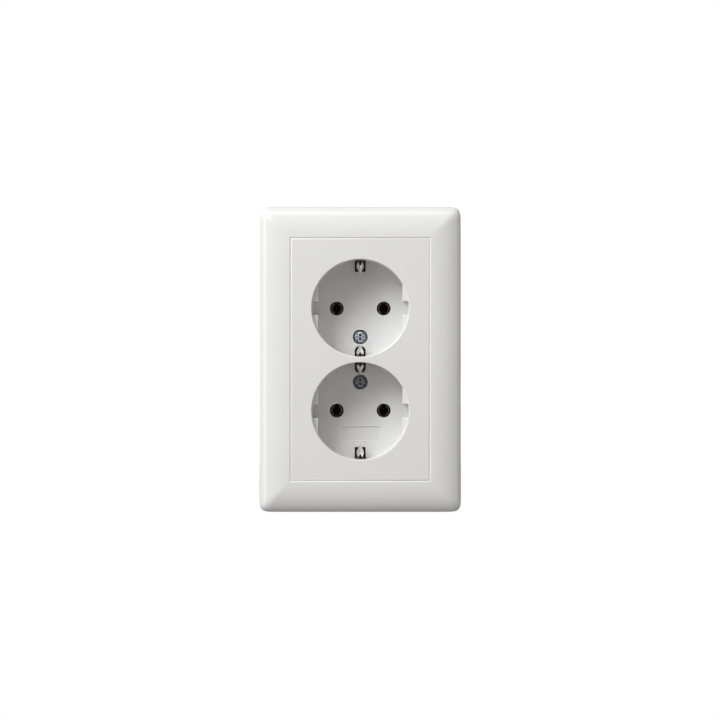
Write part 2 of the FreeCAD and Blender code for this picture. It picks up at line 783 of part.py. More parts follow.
# -------------------------------------------------------------- contact rails
RK = S["rail_skin"]
LEAF = S["leaf_skin"]
TR = S["terminal_thread"] / 2
for name, s in (("line_rail", -1), ("neutral_rail", 1)):
    rail = body(name)
    sk = sketch(rail, level=-RAIL - RK)
    X = s * PX
    rect(sk, X - rw, -23.2, X + rw, 23.2)
    pad(rail, sk, RK)
    # Each contact is a pair of curved leaves that pinch a plug pin: a sleeve
    # with a flared mouth and a waist, turned about the pin's axis and split.
    for t in (1, -1):
        sk = sketch(rail, "XY_Plane", t * WZ)
        sk.AttachmentOffset = FreeCAD.Placement(
            FreeCAD.Vector(X.v, 0, t * WZ.v), FreeCAD.Rotation()
        )
        sk.setExpression("AttachmentOffset.Base.x", X.e)
        sk.setExpression("AttachmentOffset.Base.z", (t * WZ).e)
        inner = S["leaf_waist"]
        poly(
            sk,
            [
                (inner + 0.5, RAIL + 0.6),
                (inner + 0.5 + LEAF, RAIL + 0.6),
                (inner + 0.5 + LEAF, 11.0),
                (inner + LEAF, 5.2),
                (inner + 0.95 + LEAF, 2.3),
                (inner + 0.95, 2.3),
                (inner, 5.2),
                (inner + 0.5, 11.0),
            ],
        )
        turn = rail.newObject("PartDesign::Revolution", rail.Name + "_sleeve")
        turn.Profile = sk
        turn.ReferenceAxis = (sk, ["V_Axis"])
        turn.Angle = 360.0
        rail.Tip = turn
    doc.recompute()
    sk = sketch(rail, level=-2.0)
    for t in (1, -1):
        rect(sk, X - 0.75, t * WZ - 3.6, X + 0.75, t * WZ + 3.6)
    pocket(rail, sk, RAIL - 3.0)
    doc.recompute()
    sk = sketch(rail, level=-RAIL)
    ring_of(sk, X, 0, TR)
    pocket(rail, sk, RK)
    parts.append(rail)

# steel spring bands round the contact leaves
bands = []
for i, (s, t) in enumerate(((1, 1), (-1, 1), (-1, -1), (1, -1)), 1):
    b = body("contact_spring_%d" % i)
    sk = sketch(b, level=-7.2)
    X, Z = s * PX, t * WZ
    ring_of(sk, X, Z, S["leaf_waist"] + LEAF + 0.75)
    ring_of(sk, X, Z, S["leaf_waist"] + LEAF + 0.3)
    pad(b, sk, 2.2)
    bands.append(b)
parts.append(gather("contact_springs", bands))

# --------------------------------------------------------- terminals at the rear
for name, x, z in (("line", -PX, 0.0), ("neutral", PX, 0.0), ("earth", Dim.of(0.0), -5.0)):
    wide = 3.6 if name == "earth" else 3.9
    b = body(name + "_clamp")
    sk = sketch(b, level=-RAIL - RK - 2.6)
    rect(sk, x - wide, Dim.of(z) - 4.0, x + wide, Dim.of(z) + 4.0)
    pad(b, sk, 1.2)
    sk = sketch(b, level=-RAIL - RK - 1.8)
    for t in (1, -1):
        rect(sk, x - wide, Dim.of(z) + t * 4.0, x + wide, Dim.of(z) + t * 3.2)
    pad(b, sk, 0.9)
    doc.recompute()
    sk = sketch(b, level=-RAIL - RK)
    ring_of(sk, x, z, TR + 0.15)
    pocket(b, sk, 4.0)
    parts.append(b)
    parts.append(
        screw(
            name + "_terminal_screw", x, z, -RAIL - RK - 2.6, 3.1, 2.1, TR, 6.0,
            rear=True, cross=False,
        )
    )

# ------------------------------------------------------------------ earth path
# One strap across the front of the insert carries four spring clips, two for
# each plug. A link takes it to the earth terminal at the rear.
strap = body("earth_strap")
sk = sketch(strap, level=S["plateau"])
sw = S["strap_wide"] / 2
rect(sk, -sw, -40.6, sw, 40.6)
pad(strap, sk, S["strap_skin"])
doc.recompute()
sk = sketch(strap, level=STRAP)
rect(sk, -2.5, -0.6, 2.5, 0.6)
for t in (1, -1):
    ring_of(sk, 0, t * FZ, 1.5)
pocket(strap, sk, S["strap_skin"])
kw = S["clip_wide"] / 2


def nose(at_level, back, tip, half, t, way):
    """Section of a clip: a channel with a pointed, rounded nose."""
    sk = sketch(strap, level=at_level)
    z = lambda d: t * (WZ + way * d)
    poly(
        sk,
        [
            (-half, z(back)),
            (-half, z(tip + 1.6)),
            (-0.55 * half, z(tip + 0.5)),
            (-0.15 * half, z(tip)),
            (0.15 * half, z(tip)),
            (0.55 * half, z(tip + 0.5)),
            (half, z(tip + 1.6)),
            (half, z(back)),
        ],
    )
    return sk


def loft(kind, sections):
    f = strap.newObject(kind, "clip")
    f.Profile = sections[0]
    f.Sections = sections[1:]
    f.Ruled = True
    strap.Tip = f
    doc.recompute()
    return f


# way is +1 for a clip on the far side of its well from the middle
for t in (1, -1):
    for way, reach in ((1, 14.2), (-1, 15.1)):
        before = strap.Shape.Volume
        loft(
            "PartDesign::AdditiveLoft",
            [
                nose(S["plateau"] + 0.4, 18.75, reach + 1.4, kw, t, way),
                nose(FLOOR + 1.0, 18.75, reach + 1.2, kw, t, way),
                nose(FLOOR + 6.5, 18.75, reach, kw * 0.98, t, way),
                nose(FLOOR + 11.8, 18.9, reach + 2.3, kw * 0.9, t, way),
            ],
        )
        mid = strap.Shape.Volume
        loft(
            "PartDesign::SubtractiveLoft",
            [
                nose(STRAP + 0.6, 19.4, reach + 2.1, kw * 0.6, t, way),
                nose(FLOOR + 1.0, 19.4, reach + 1.9, kw * 0.6, t, way),
                nose(FLOOR + 6.5, 19.4, reach + 0.7, kw * 0.58, t, way),
                nose(FLOOR + 12.4, 19.4, reach + 3.1, kw * 0.5, t, way),
            ],
        )
        if not (mid > before and strap.Shape.Volume < mid):
            raise RuntimeError("clip loft changed nothing")
parts.append(strap)

link = body("earth_link")
sk = sketch(link, level=-RAIL - RK)
rect(sk, -2.5, -0.6, 2.5, 0.6)
pad(link, sk, RAIL + RK + STRAP)
sk = sketch(link, level=-RAIL - RK)
rect(sk, -3.5, -9.2, 3.5, 0.6)
pad(link, sk, RK)
doc.recompute()
sk = sketch(link, level=-RAIL)
ring_of(sk, 0, -5.0, TR)
pocket(link, sk, RK)
parts.append(link)

# ---------------------------------------------------------------------- claws
# Each claw swings on a pin in the ring's ears. A nut on the claw screw slides
# in slanted slots of the claw's cheeks, so that turning the screw pulls the
# nut forward and drives the toothed end outwards.
PV = S["pivot_offset"]
PL = S["pivot_level"]
for name, s in (("left", -1), ("right", 1)):
    claw = body(name + "_claw")

    def P(x, y):
        """A point given from the pivot: outwards, and behind it."""
        return (s * (PV + x), PL + y)

    for t in (1, -1):
        sk = sketch(claw, "XY_Plane", t * 4.8)
        poly(
            sk,
            [
                P(-1.3, -1.1), P(0.9, -1.3), P(1.7, 0.0), P(1.9, 4.0), P(3.2, 9.6),
                P(4.7, 11.4), P(4.9, 14.8), P(6.4, 16.1), P(6.7, 17.5),
                P(-1.6, 17.5), P(-3.2, 14.6), P(-3.2, 9.0), P(-1.5, 4.0), P(-1.7, 0.4),
            ],
        )
        pad(claw, sk, 1.0, both=True)
    sk = sketch(claw, "XY_Plane")
    poly(sk, [P(-1.5, 2.6), P(-0.7, 2.6), P(-0.7, 4.6), P(-1.6, 4.6)])
    pad(claw, sk, 10.6, both=True)
    # toothed end
    sk = sketch(claw, level=-PL - 17.5)
    pts = [(s * (PV - 1.6), -5.3)]
    n = 6
    for i in range(n):
        z0 = -5.3 + 10.6 * i / n
        z1 = -5.3 + 10.6 * (i + 1) / n
        pts += [(s * (PV + 5.5), z0), (s * (PV + 6.7), (z0 + z1) / 2)]
    pts += [(s * (PV + 5.5), 5.3), (s * (PV - 1.6), 5.3)]
    poly(sk, pts)
    pad(claw, sk, 1.0)
    doc.recompute()
    sk = sketch(claw, "XY_Plane")
    ring_of(sk, s * PV, PL, S["pivot_pin"] / 2 + S["claw_fit"])
    pocket(claw, sk, 12.0, both=True)
    # the slanted slot follows the nut's path, seen from the claw
    sk = sketch(claw, "XY_Plane")
    poly(
        sk,
        [
            P(4.05, 12.6), P(4.25, 13.9), P(3.2, 15.0), P(2.0, 15.1), P(0.4, 14.25),
            P(-1.2, 13.35), P(-2.1, 12.5), P(-2.1, 11.2), P(-1.2, 10.25), P(0.0, 10.3),
            P(1.4, 11.15), P(2.9, 11.9),
        ],
    )
    pocket(claw, sk, 12.0, both=True)
    parts.append(claw)

    # two short rivets, one in each ear
    stubs = []
    for t in (1, -1):
        pin = body("%s_claw_rivet_%s" % (name, "a" if t > 0 else "b"))
        for r, lo, hi in (
            (S["pivot_pin"] / 2, 3.8, 7.1),
            (Dim.of(1.5), 6.6, 7.1),
            (Dim.of(1.4), 3.7, 4.15),
        ):
            sk = sketch(pin, "XY_Plane", t * (lo + hi) / 2)
            ring_of(sk, s * PV, PL, r)
            pad(pin, sk, hi - lo, both=True)
        stubs.append(pin)
    parts.append(gather(name + "_claw_rivets", stubs))

    nut = body(name + "_claw_nut")
    NX = s * S["claw_screw_offset"]
    sk = sketch(nut, "XY_Plane")
    ring_of(sk, NX, S["nut_level"], 2.6)
    pad(nut, sk, 8.2, both=True)
    sk = sketch(nut, "XY_Plane")
    ring_of(sk, NX, S["nut_level"], 1.25)
    pad(nut, sk, 11.4, both=True)
    doc.recompute()
    sk = sketch(nut, level=0.0)
    ring_of(sk, NX, 0, S["claw_thread"] / 2 + 0.03)
    pocket(nut, sk, 22.0)
    parts.append(nut)

    parts.append(
        screw(
            name + "_claw_screw", NX, 0, RT, 3.1, 2.0, S["claw_thread"] / 2,
            S["nut_level"] + RT + 1.6,
        )
    )

doc.recompute()

# ---------------------------------------------------------------- check and write
bad = [o.Name for o in doc.Objects if "Invalid" in o.State or "Error" in o.State]
if bad:
    raise RuntimeError("failed objects: %s" % ", ".join(bad))
os.makedirs("parts", exist_ok=True)
total = 0.0
for o in parts:
    shape = o.Shape
    if shape.isNull() or not shape.isValid() or not shape.Solids:
        raise RuntimeError("%s has no valid solid" % o.Label)
    box = shape.BoundBox
    print(
        "%-24s %d solid %9.1f mm3  x %7.2f %7.2f  y %7.2f %7.2f  z %7.2f %7.2f"
        % (
            o.Label, len(shape.Solids), shape.Volume,
            box.XMin, box.XMax, box.YMin, box.YMax, box.ZMin, box.ZMax,
        )
    )
    total += shape.Volume
for o in parts:
    o.Shape.exportStep("parts/%s.step" % o.Label)
print("%d pieces, %.1f mm3" % (len(parts), total))
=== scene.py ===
import math

import bmesh
import bpy
from mathutils import Matrix, Vector


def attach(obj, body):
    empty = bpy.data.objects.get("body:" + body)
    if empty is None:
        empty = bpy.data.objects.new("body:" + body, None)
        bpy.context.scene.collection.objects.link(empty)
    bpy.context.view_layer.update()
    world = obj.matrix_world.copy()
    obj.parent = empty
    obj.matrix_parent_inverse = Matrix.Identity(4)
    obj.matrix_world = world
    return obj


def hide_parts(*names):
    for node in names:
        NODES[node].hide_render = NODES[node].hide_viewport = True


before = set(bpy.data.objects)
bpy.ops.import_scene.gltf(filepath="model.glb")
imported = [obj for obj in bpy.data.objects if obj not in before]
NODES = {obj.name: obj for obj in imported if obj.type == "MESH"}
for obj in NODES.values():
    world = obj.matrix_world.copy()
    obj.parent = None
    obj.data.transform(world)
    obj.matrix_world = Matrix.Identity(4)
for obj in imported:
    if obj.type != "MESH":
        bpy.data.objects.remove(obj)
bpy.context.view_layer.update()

COLLECTION = bpy.context.scene.collection

# Sizes in millimetres. "Level" is the distance in front of the wall, so y = -level.
HALF_W, HALF_T = 40.7, 61.4
SEAM_X, SEAM_Z = 27.8, 48.55
PLATE_X, PLATE_Z = 27.78, 48.53
EDGE_W, EDGE_H = 0.62, 0.27     # the eased rim on both sides of the seam
SIDE, FACE = 18.0, 23.0
LEDGE = 16.0
WELL_R, WELL_Z = 19.5, 20.65
FLOOR, BACK = 5.5, 3.5
PIN_X = 9.5
FIX_Z = 9.1
STRAP_BACK, STRAP_FRONT = 1.2, 2.2


# ------------------------------------------------------------------ mesh helpers
def make(name, verts, faces):
    """A mesh object. Its numbers are millimetres until finish_piece shrinks it."""
    me = bpy.data.meshes.new(name)
    me.from_pydata([tuple(v) for v in verts], [], faces)
    me.validate()
    bm = bmesh.new()
    bm.from_mesh(me)
    bmesh.ops.recalc_face_normals(bm, faces=bm.faces)
    bm.to_mesh(me)
    bm.free()
    o = bpy.data.objects.new(name, me)
    COLLECTION.objects.link(o)
    return o


def settle(o):
    """Applies the object's modifiers."""
    bpy.context.view_layer.update()
    dg = bpy.context.evaluated_depsgraph_get()
    me = bpy.data.meshes.new_from_object(o.evaluated_get(dg))
    old = o.data
    o.modifiers.clear()
    o.data = me
    bpy.data.meshes.remove(old)


def drop(o):
    me = o.data
    bpy.data.objects.remove(o)
    bpy.data.meshes.remove(me)


def merge(parts, name):
    """Joins meshes that don't touch into one object."""
    bm = bmesh.new()
    for p in parts:
        bm.from_mesh(p.data)
    me = bpy.data.meshes.new(name)
    bm.to_mesh(me)
    bm.free()
    for p in parts:
        drop(p)
    o = bpy.data.objects.new(name, me)
    COLLECTION.objects.link(o)
    return o


def carve(o, other, how="DIFFERENCE", selfish=False):
    """Boolean of o with the other object, which is used up."""
    m = o.modifiers.new("join", "BOOLEAN")
    m.operation = how
    m.solver = "EXACT"
    m.use_self = selfish
    m.object = other
    settle(o)
    drop(other)


def ease(n, a, b, first=True):
    """n + 1 angles from a to b, in degrees, as radians."""
    return [math.radians(a + (b - a) * k / n) for k in range(0 if first else 1, n + 1)]


def lathe(name, profile, cx=0.0, cz=0.0, n=64, closed=False):
    """Turns (radius, level) points about an axis along Y through (cx, cz)."""
    verts, faces, rings = [], [], []
    for r, h in profile:
        if r < 1e-6:
            rings.append([len(verts)])
            verts.append((cx, -h, cz))
        else:
            base = len(verts)
            rings.append([base + k for k in range(n)])
            for k in range(n):
                a = 2 * math.pi * k / n
                verts.append((cx + r * math.cos(a), -h, cz + r * math.sin(a)))
    pairs = list(zip(rings, rings[1:]))
    if closed:
        pairs.append((rings[-1], rings[0]))
    for A, B in pairs:
        if len(A) == 1 and len(B) == 1:
            continue
        for k in range(n):
            j = (k + 1) % n
            if len(A) == 1:
                faces.append((A[0], B[k], B[j]))
            elif len(B) == 1:
                faces.append((A[k], A[j], B[0]))
            else:
                faces.append((A[k], A[j], B[j], B[k]))
    return make(name, verts, faces)


def inset(loop, d):
    """The loop of (x, z) points moved inward by d. The loop runs anticlockwise."""
    out = []
    n = len(loop)
    for i in range(n):
        p0, p1, p2 = (Vector(loop[(i + j) % n]) for j in (-1, 0, 1))
        a, b = (p1 - p0).normalized(), (p2 - p1).normalized()
        na, nb = Vector((-a.y, a.x)), Vector((-b.y, b.x))
        m = na + nb
        m = m / max(m.dot(m) / 2, 0.2)
        out.append((p1.x + m.x * d, p1.y + m.y * d))
    return out


def turned(loop):
    area = sum(a[0] * b[1] - b[0] * a[1] for a, b in zip(loop, loop[1:] + loop[:1]))
    return loop if area > 0 else loop[::-1]


def fillet(points, radii, n=6):
    """Rounds the corners of a polygon. radii is one number or one per corner."""
    points = turned([tuple(p) for p in points])
    if not isinstance(radii, (list, tuple)):
        radii = [radii] * len(points)
    out = []
    m = len(points)
    for i in range(m):
        p0, p1, p2 = (Vector(points[(i + j) % m]) for j in (-1, 0, 1))
        r = radii[i]
        if r <= 0:
            out.append(tuple(p1))
            continue
        a, b = (p0 - p1).normalized(), (p2 - p1).normalized()
        half = a.angle(b) / 2
        t = r / math.tan(half)
        c = p1 + (a + b).normalized() * (r / math.sin(half))
        s, e = p1 + a * t, p1 + b * t
        a0 = math.atan2(s.y - c.y, s.x - c.x)
        a1 = math.atan2(e.y - c.y, e.x - c.x)
        d = (a1 - a0 + math.pi) % (2 * math.pi) - math.pi
        for k in range(n + 1):
            w = a0 + d * k / n
            out.append((c.x + r * math.cos(w), c.y + r * math.sin(w)))
    return out


def prism(name, loop, levels):
    """Stacks the loop at (level, inset) steps, and caps both ends."""
    loop = turned([tuple(p) for p in loop])
    verts, faces = [], []
    n = len(loop)
    for h, d in levels:
        for x, z in (inset(loop, d) if abs(d) > 1e-9 else loop):
            verts.append((x, -h, z))
    for i in range(len(levels) - 1):
        a, b = i * n, (i + 1) * n
        for k in range(n):
            j = (k + 1) % n
            faces.append((a + k, a + j, b + j, b + k))
    faces.append(tuple(range(n))[::-1])
    faces.append(tuple((len(levels) - 1) * n + k for k in range(n)))
    return make(name, verts, faces)


def rect(x0, z0, x1, z1):
    return [(x0, z0), (x1, z0), (x1, z1), (x0, z1)]


def circle(cx, cz, r, n=48):
    return [(cx + r * math.cos(2 * math.pi * k / n), cz + r * math.sin(2 * math.pi * k / n)) for k in range(n)]


def rounded_levels(h0, h1, r0=0.0, r1=0.0, n=4):
    """Levels from h0 up to h1 with a rounded rim of r0 at h0 and r1 at h1."""
    out = []
    if r0:
        out += [(h0 + r0 - r0 * math.cos(a), r0 - r0 * math.sin(a)) for a in ease(n, 0, 90)]
    else:
        out.append((h0, 0.0))
    if r1:
        out += [(h1 - r1 + r1 * math.sin(a), r1 - r1 * math.cos(a)) for a in ease(n, 0, 90)]
    else:
        out.append((h1, 0.0))
    return out


def finish_piece(o, slot, body, nodes, sharp=38.0, weighted=True):
    """Shrinks the piece to metres, sets its shading, and ties it to the frame."""
    me = o.data
    me.transform(Matrix.Scale(0.001, 4))
    bm = bmesh.new()
    bm.from_mesh(me)
    bmesh.ops.remove_doubles(bm, verts=bm.verts, dist=2e-7)
    bmesh.ops.dissolve_degenerate(bm, dist=2e-7, edges=bm.edges)
    bmesh.ops.recalc_face_normals(bm, faces=bm.faces)
    limit = math.radians(sharp)
    for f in bm.faces:
        f.smooth = True
    for e in bm.edges:
        e.smooth = e.is_manifold and e.calc_face_angle(0.0) < limit
    bm.to_mesh(me)
    bm.free()
    me.materials.clear()
    me.materials.append(MATERIALS[slot])
    if weighted:
        w = o.modifiers.new("weighted", "WEIGHTED_NORMAL")
        w.keep_sharp = True
        w.weight = 80
    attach(o, body)
    if nodes:
        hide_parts(*nodes)
    return o


# --------------------------------------------------------------------- materials
MATERIALS = {}


class Tree:
    """Short ways to add shader nodes."""

    def __init__(self, name):
        self.m = bpy.data.materials.new(name)
        self.m.use_nodes = True
        self.t = self.m.node_tree
        self.t.nodes.clear()
        self.out = self.add("ShaderNodeOutputMaterial")
        self.bsdf = self.add("ShaderNodeBsdfPrincipled")
        self.link(self.bsdf.outputs[0], self.out.inputs[0])
        self.where = self.add("ShaderNodeTexCoord").outputs["Object"]
        self.height = None

    def add(self, kind, **props):
        n = self.t.nodes.new(kind)
        for k, v in props.items():
            setattr(n, k, v)
        return n

    def link(self, a, b):
        self.t.links.new(a, b)

    def stretch(self, x, y, z):
        n = self.add("ShaderNodeMapping")
        n.inputs["Scale"].default_value = (x, y, z)
        self.link(self.where, n.inputs["Vector"])
        return n.outputs[0]

    def noise(self, scale, detail=3.0, rough=0.5, at=None):
        n = self.add("ShaderNodeTexNoise")
        n.inputs["Scale"].default_value = scale
        n.inputs["Detail"].default_value = detail
        n.inputs["Roughness"].default_value = rough
        self.link(at or self.where, n.inputs["Vector"])
        return n.outputs["Fac"]

    def cells(self, scale, at=None, feature="F1"):
        n = self.add("ShaderNodeTexVoronoi", feature=feature)
        n.inputs["Scale"].default_value = scale
        self.link(at or self.where, n.inputs["Vector"])
        return n

    def span(self, value, lo, hi, to_lo=0.0, to_hi=1.0, smooth=False):
        n = self.add("ShaderNodeMapRange", interpolation_type="SMOOTHSTEP" if smooth else "LINEAR")
        n.inputs["From Min"].default_value = lo
        n.inputs["From Max"].default_value = hi
        n.inputs["To Min"].default_value = to_lo
        n.inputs["To Max"].default_value = to_hi
        self.link(value, n.inputs["Value"])
        return n.outputs[0]

    def ramp(self, value, stops):
        n = self.add("ShaderNodeValToRGB")
        r = n.color_ramp
        while len(r.elements) < len(stops):
            r.elements.new(0.5)
        for e, (p, c) in zip(r.elements, stops):
            e.position = p
            e.color = (*c, 1.0)
        self.link(value, n.inputs[0])
        return n.outputs[0]

    def mix(self, fac, a, b):
        n = self.add("ShaderNodeMix", data_type="RGBA")
        if isinstance(fac, float):
            n.inputs[0].default_value = fac
        else:
            self.link(fac, n.inputs[0])
        for s, v in ((n.inputs[6], a), (n.inputs[7], b)):
            if isinstance(v, tuple):
                s.default_value = (*v, 1.0)
            else:
                self.link(v, s)
        return n.outputs[2]

    def math(self, op, a, b=0.0):
        n = self.add("ShaderNodeMath", operation=op)
        for s, v in ((n.inputs[0], a), (n.inputs[1], b)):
            if isinstance(v, float):
                s.default_value = v
            else:
                self.link(v, s)
        return n.outputs[0]

    def bump(self, height, strength, distance):
        n = self.add("ShaderNodeBump")
        n.inputs["Strength"].default_value = strength
        n.inputs["Distance"].default_value = distance
        self.link(height, n.inputs["Height"])
        if self.height is not None:
            self.link(self.height, n.inputs["Normal"])
        self.height = n.outputs[0]
        self.link(self.height, self.bsdf.inputs["Normal"])

    def put(self, **values):
        for k, v in values.items():
            s = self.bsdf.inputs[k.replace("_", " ")]
            if isinstance(v, tuple) and len(v) == 3 and s.type == "RGBA":
                s.default_value = (*v, 1.0)
            elif isinstance(v, (int, float, tuple)):
                s.default_value = v
            else:
                self.link(v, s)

    def axis(self, which):
        n = self.add("ShaderNodeSeparateXYZ")
        self.link(self.where, n.inputs[0])
        return n.outputs[which]


def scaled(c, k):
    return tuple(min(1.0, v * k) for v in c)


def plastic(name, base, rough, grain=0.12, grain_scale=1600.0, dust_and_shade=(0.62, 0.58, 0.50), dust_and_shade_weight=0.10, spread=0.05, coat=0.0, recess_shade=0.0, edge_highlight=0.0):
    """Moulded plastic: faint flow mottle, a fine grain from the tool, roughness
    that varies where hands polish it, hairline scratches, and dust with painted
    shade in corners; optionally painted shadow in narrow recesses and painted
    highlights on convex edges."""
    t = Tree(name)
    flow = t.noise(38.0, 3.0, 0.55)
    fine = t.noise(900.0, 2.0)
    shade = t.ramp(flow, [(0.30, scaled(base, 0.985)), (0.70, scaled(base, 1.008))])
    shade = t.mix(t.span(fine, 0.35, 0.75, 0.0, 0.25), shade, scaled(base, 0.975))
    # dust and painted shade: the colour is darkened towards the dust colour where ambient occlusion is low, in corners,
    # seams and between parts
    ao = t.add("ShaderNodeAmbientOcclusion", samples=6)
    ao.inputs["Distance"].default_value = 0.0016
    deep = t.span(ao.outputs["AO"], 0.15, 0.75, dust_and_shade_weight, 0.0, True)
    shade = t.mix(deep, shade, dust_and_shade)
    # painted shadow: narrow recesses at and behind the well floor, such as pin holes, screw recesses and clip slots,
    # are darkened to near black
    if recess_shade:
        narrow = t.span(ao.outputs["AO"], 0.04, 0.34, recess_shade, 0.0, True)
        low = t.span(t.axis(1), -0.0064, -0.0058, 0.0, 1.0, True)
        shade = t.mix(t.math("MULTIPLY", narrow, low), shade, (0.050, 0.047, 0.055))
    # painted highlight: convex edges, found by ambient occlusion inside the solid, are lightened towards white
    if edge_highlight:
        rim = t.add("ShaderNodeAmbientOcclusion", samples=6, inside=True)
        rim.inputs["Distance"].default_value = 0.00045
        shade = t.mix(t.span(rim.outputs["AO"], 0.66, 0.92, edge_highlight, 0.0, True), shade, (1.0, 1.0, 0.99))
    t.put(Base_Color=shade)
    scratch = t.noise(260.0, 2.0, 0.6, t.stretch(1.0, 1.0, 0.22))
    lines = t.span(scratch, 0.64, 0.70, 0.0, 0.015, True)
    polish = t.span(t.noise(70.0, 4.0, 0.6), 0.3, 0.7, rough - spread, rough + spread)
    t.put(Roughness=t.math("ADD", polish, lines))
    t.bump(t.noise(grain_scale, 3.0, 0.55), grain, 0.00004)
    t.put(IOR=1.49, Specular_IOR_Level=0.5)
    if coat:
        t.put(Coat_Weight=coat, Coat_Roughness=0.08)
    MATERIALS[name] = t.m
    return t


def metal(name, bright, dull, rough, spread=0.08, scale=160.0, brushed=None, grain=0.15, shade_by_depth=(), gap_shade=None, gap_size=0.0015, gap_span=(0.38, 0.85)):
    """Metal with patchy tarnish, drawn or rolled lines and a fine grain, and optional painted shade in narrow gaps and
    in given depth bands.
    """
    t = Tree(name)
    patch = t.noise(scale, 5.0, 0.62)
    colour = t.ramp(patch, [(0.30, dull), (0.48, scaled(bright, 0.93)), (0.70, bright)])
    # painted shade: each band darkens the colour towards its shade colour along one axis, optionally fading out again
    # further on
    for axis, lo, hi, shade_colour, *end in shade_by_depth:
        fade = t.math("MULTIPLY", t.span(t.axis(axis), lo, hi, 0.0, 1.0, True), t.span(t.noise(700.0, 3.0), 0.2, 0.6, 0.92, 1.0))
        if end:
            fade = t.math("MULTIPLY", fade, t.span(t.axis(axis), end[0], end[1], 1.0, 0.0, True))
        colour = t.mix(fade, colour, shade_colour)
    # painted shade: narrow gaps, where ambient occlusion is low, are darkened towards the gap shade colour
    if gap_shade:
        ao = t.add("ShaderNodeAmbientOcclusion", samples=6)
        ao.inputs["Distance"].default_value = gap_size
        colour = t.mix(t.span(ao.outputs["AO"], gap_span[0], gap_span[1], 0.96, 0.0, True), colour, gap_shade)
    at = t.stretch(*(brushed or (1.0, 1.0, 1.0)))
    lines = t.noise(2400.0, 2.0, 0.5, at)
    r = t.span(patch, 0.3, 0.7, rough + spread, rough - spread)
    t.put(Base_Color=colour, Metallic=1.0, Roughness=t.math("ADD", r, t.span(lines, 0.3, 0.7, -0.03, 0.03)))
    t.bump(lines, grain, 0.00003)
    MATERIALS[name] = t.m
    return t


def near_pins(t, lo, hi):
    """1 round the axes of the four pin holes, out to lo, and 0 from hi on."""
    dx = t.math("SUBTRACT", t.math("ABSOLUTE", t.axis(0)), 0.001 * PIN_X)
    dz = t.math("SUBTRACT", t.math("ABSOLUTE", t.axis(2)), 0.001 * WELL_Z)
    away = t.math("POWER", t.math("ADD", t.math("MULTIPLY", dx, dx), t.math("MULTIPLY", dz, dz)), 0.5)
    return t.span(away, lo, hi, 1.0, 0.0, True)


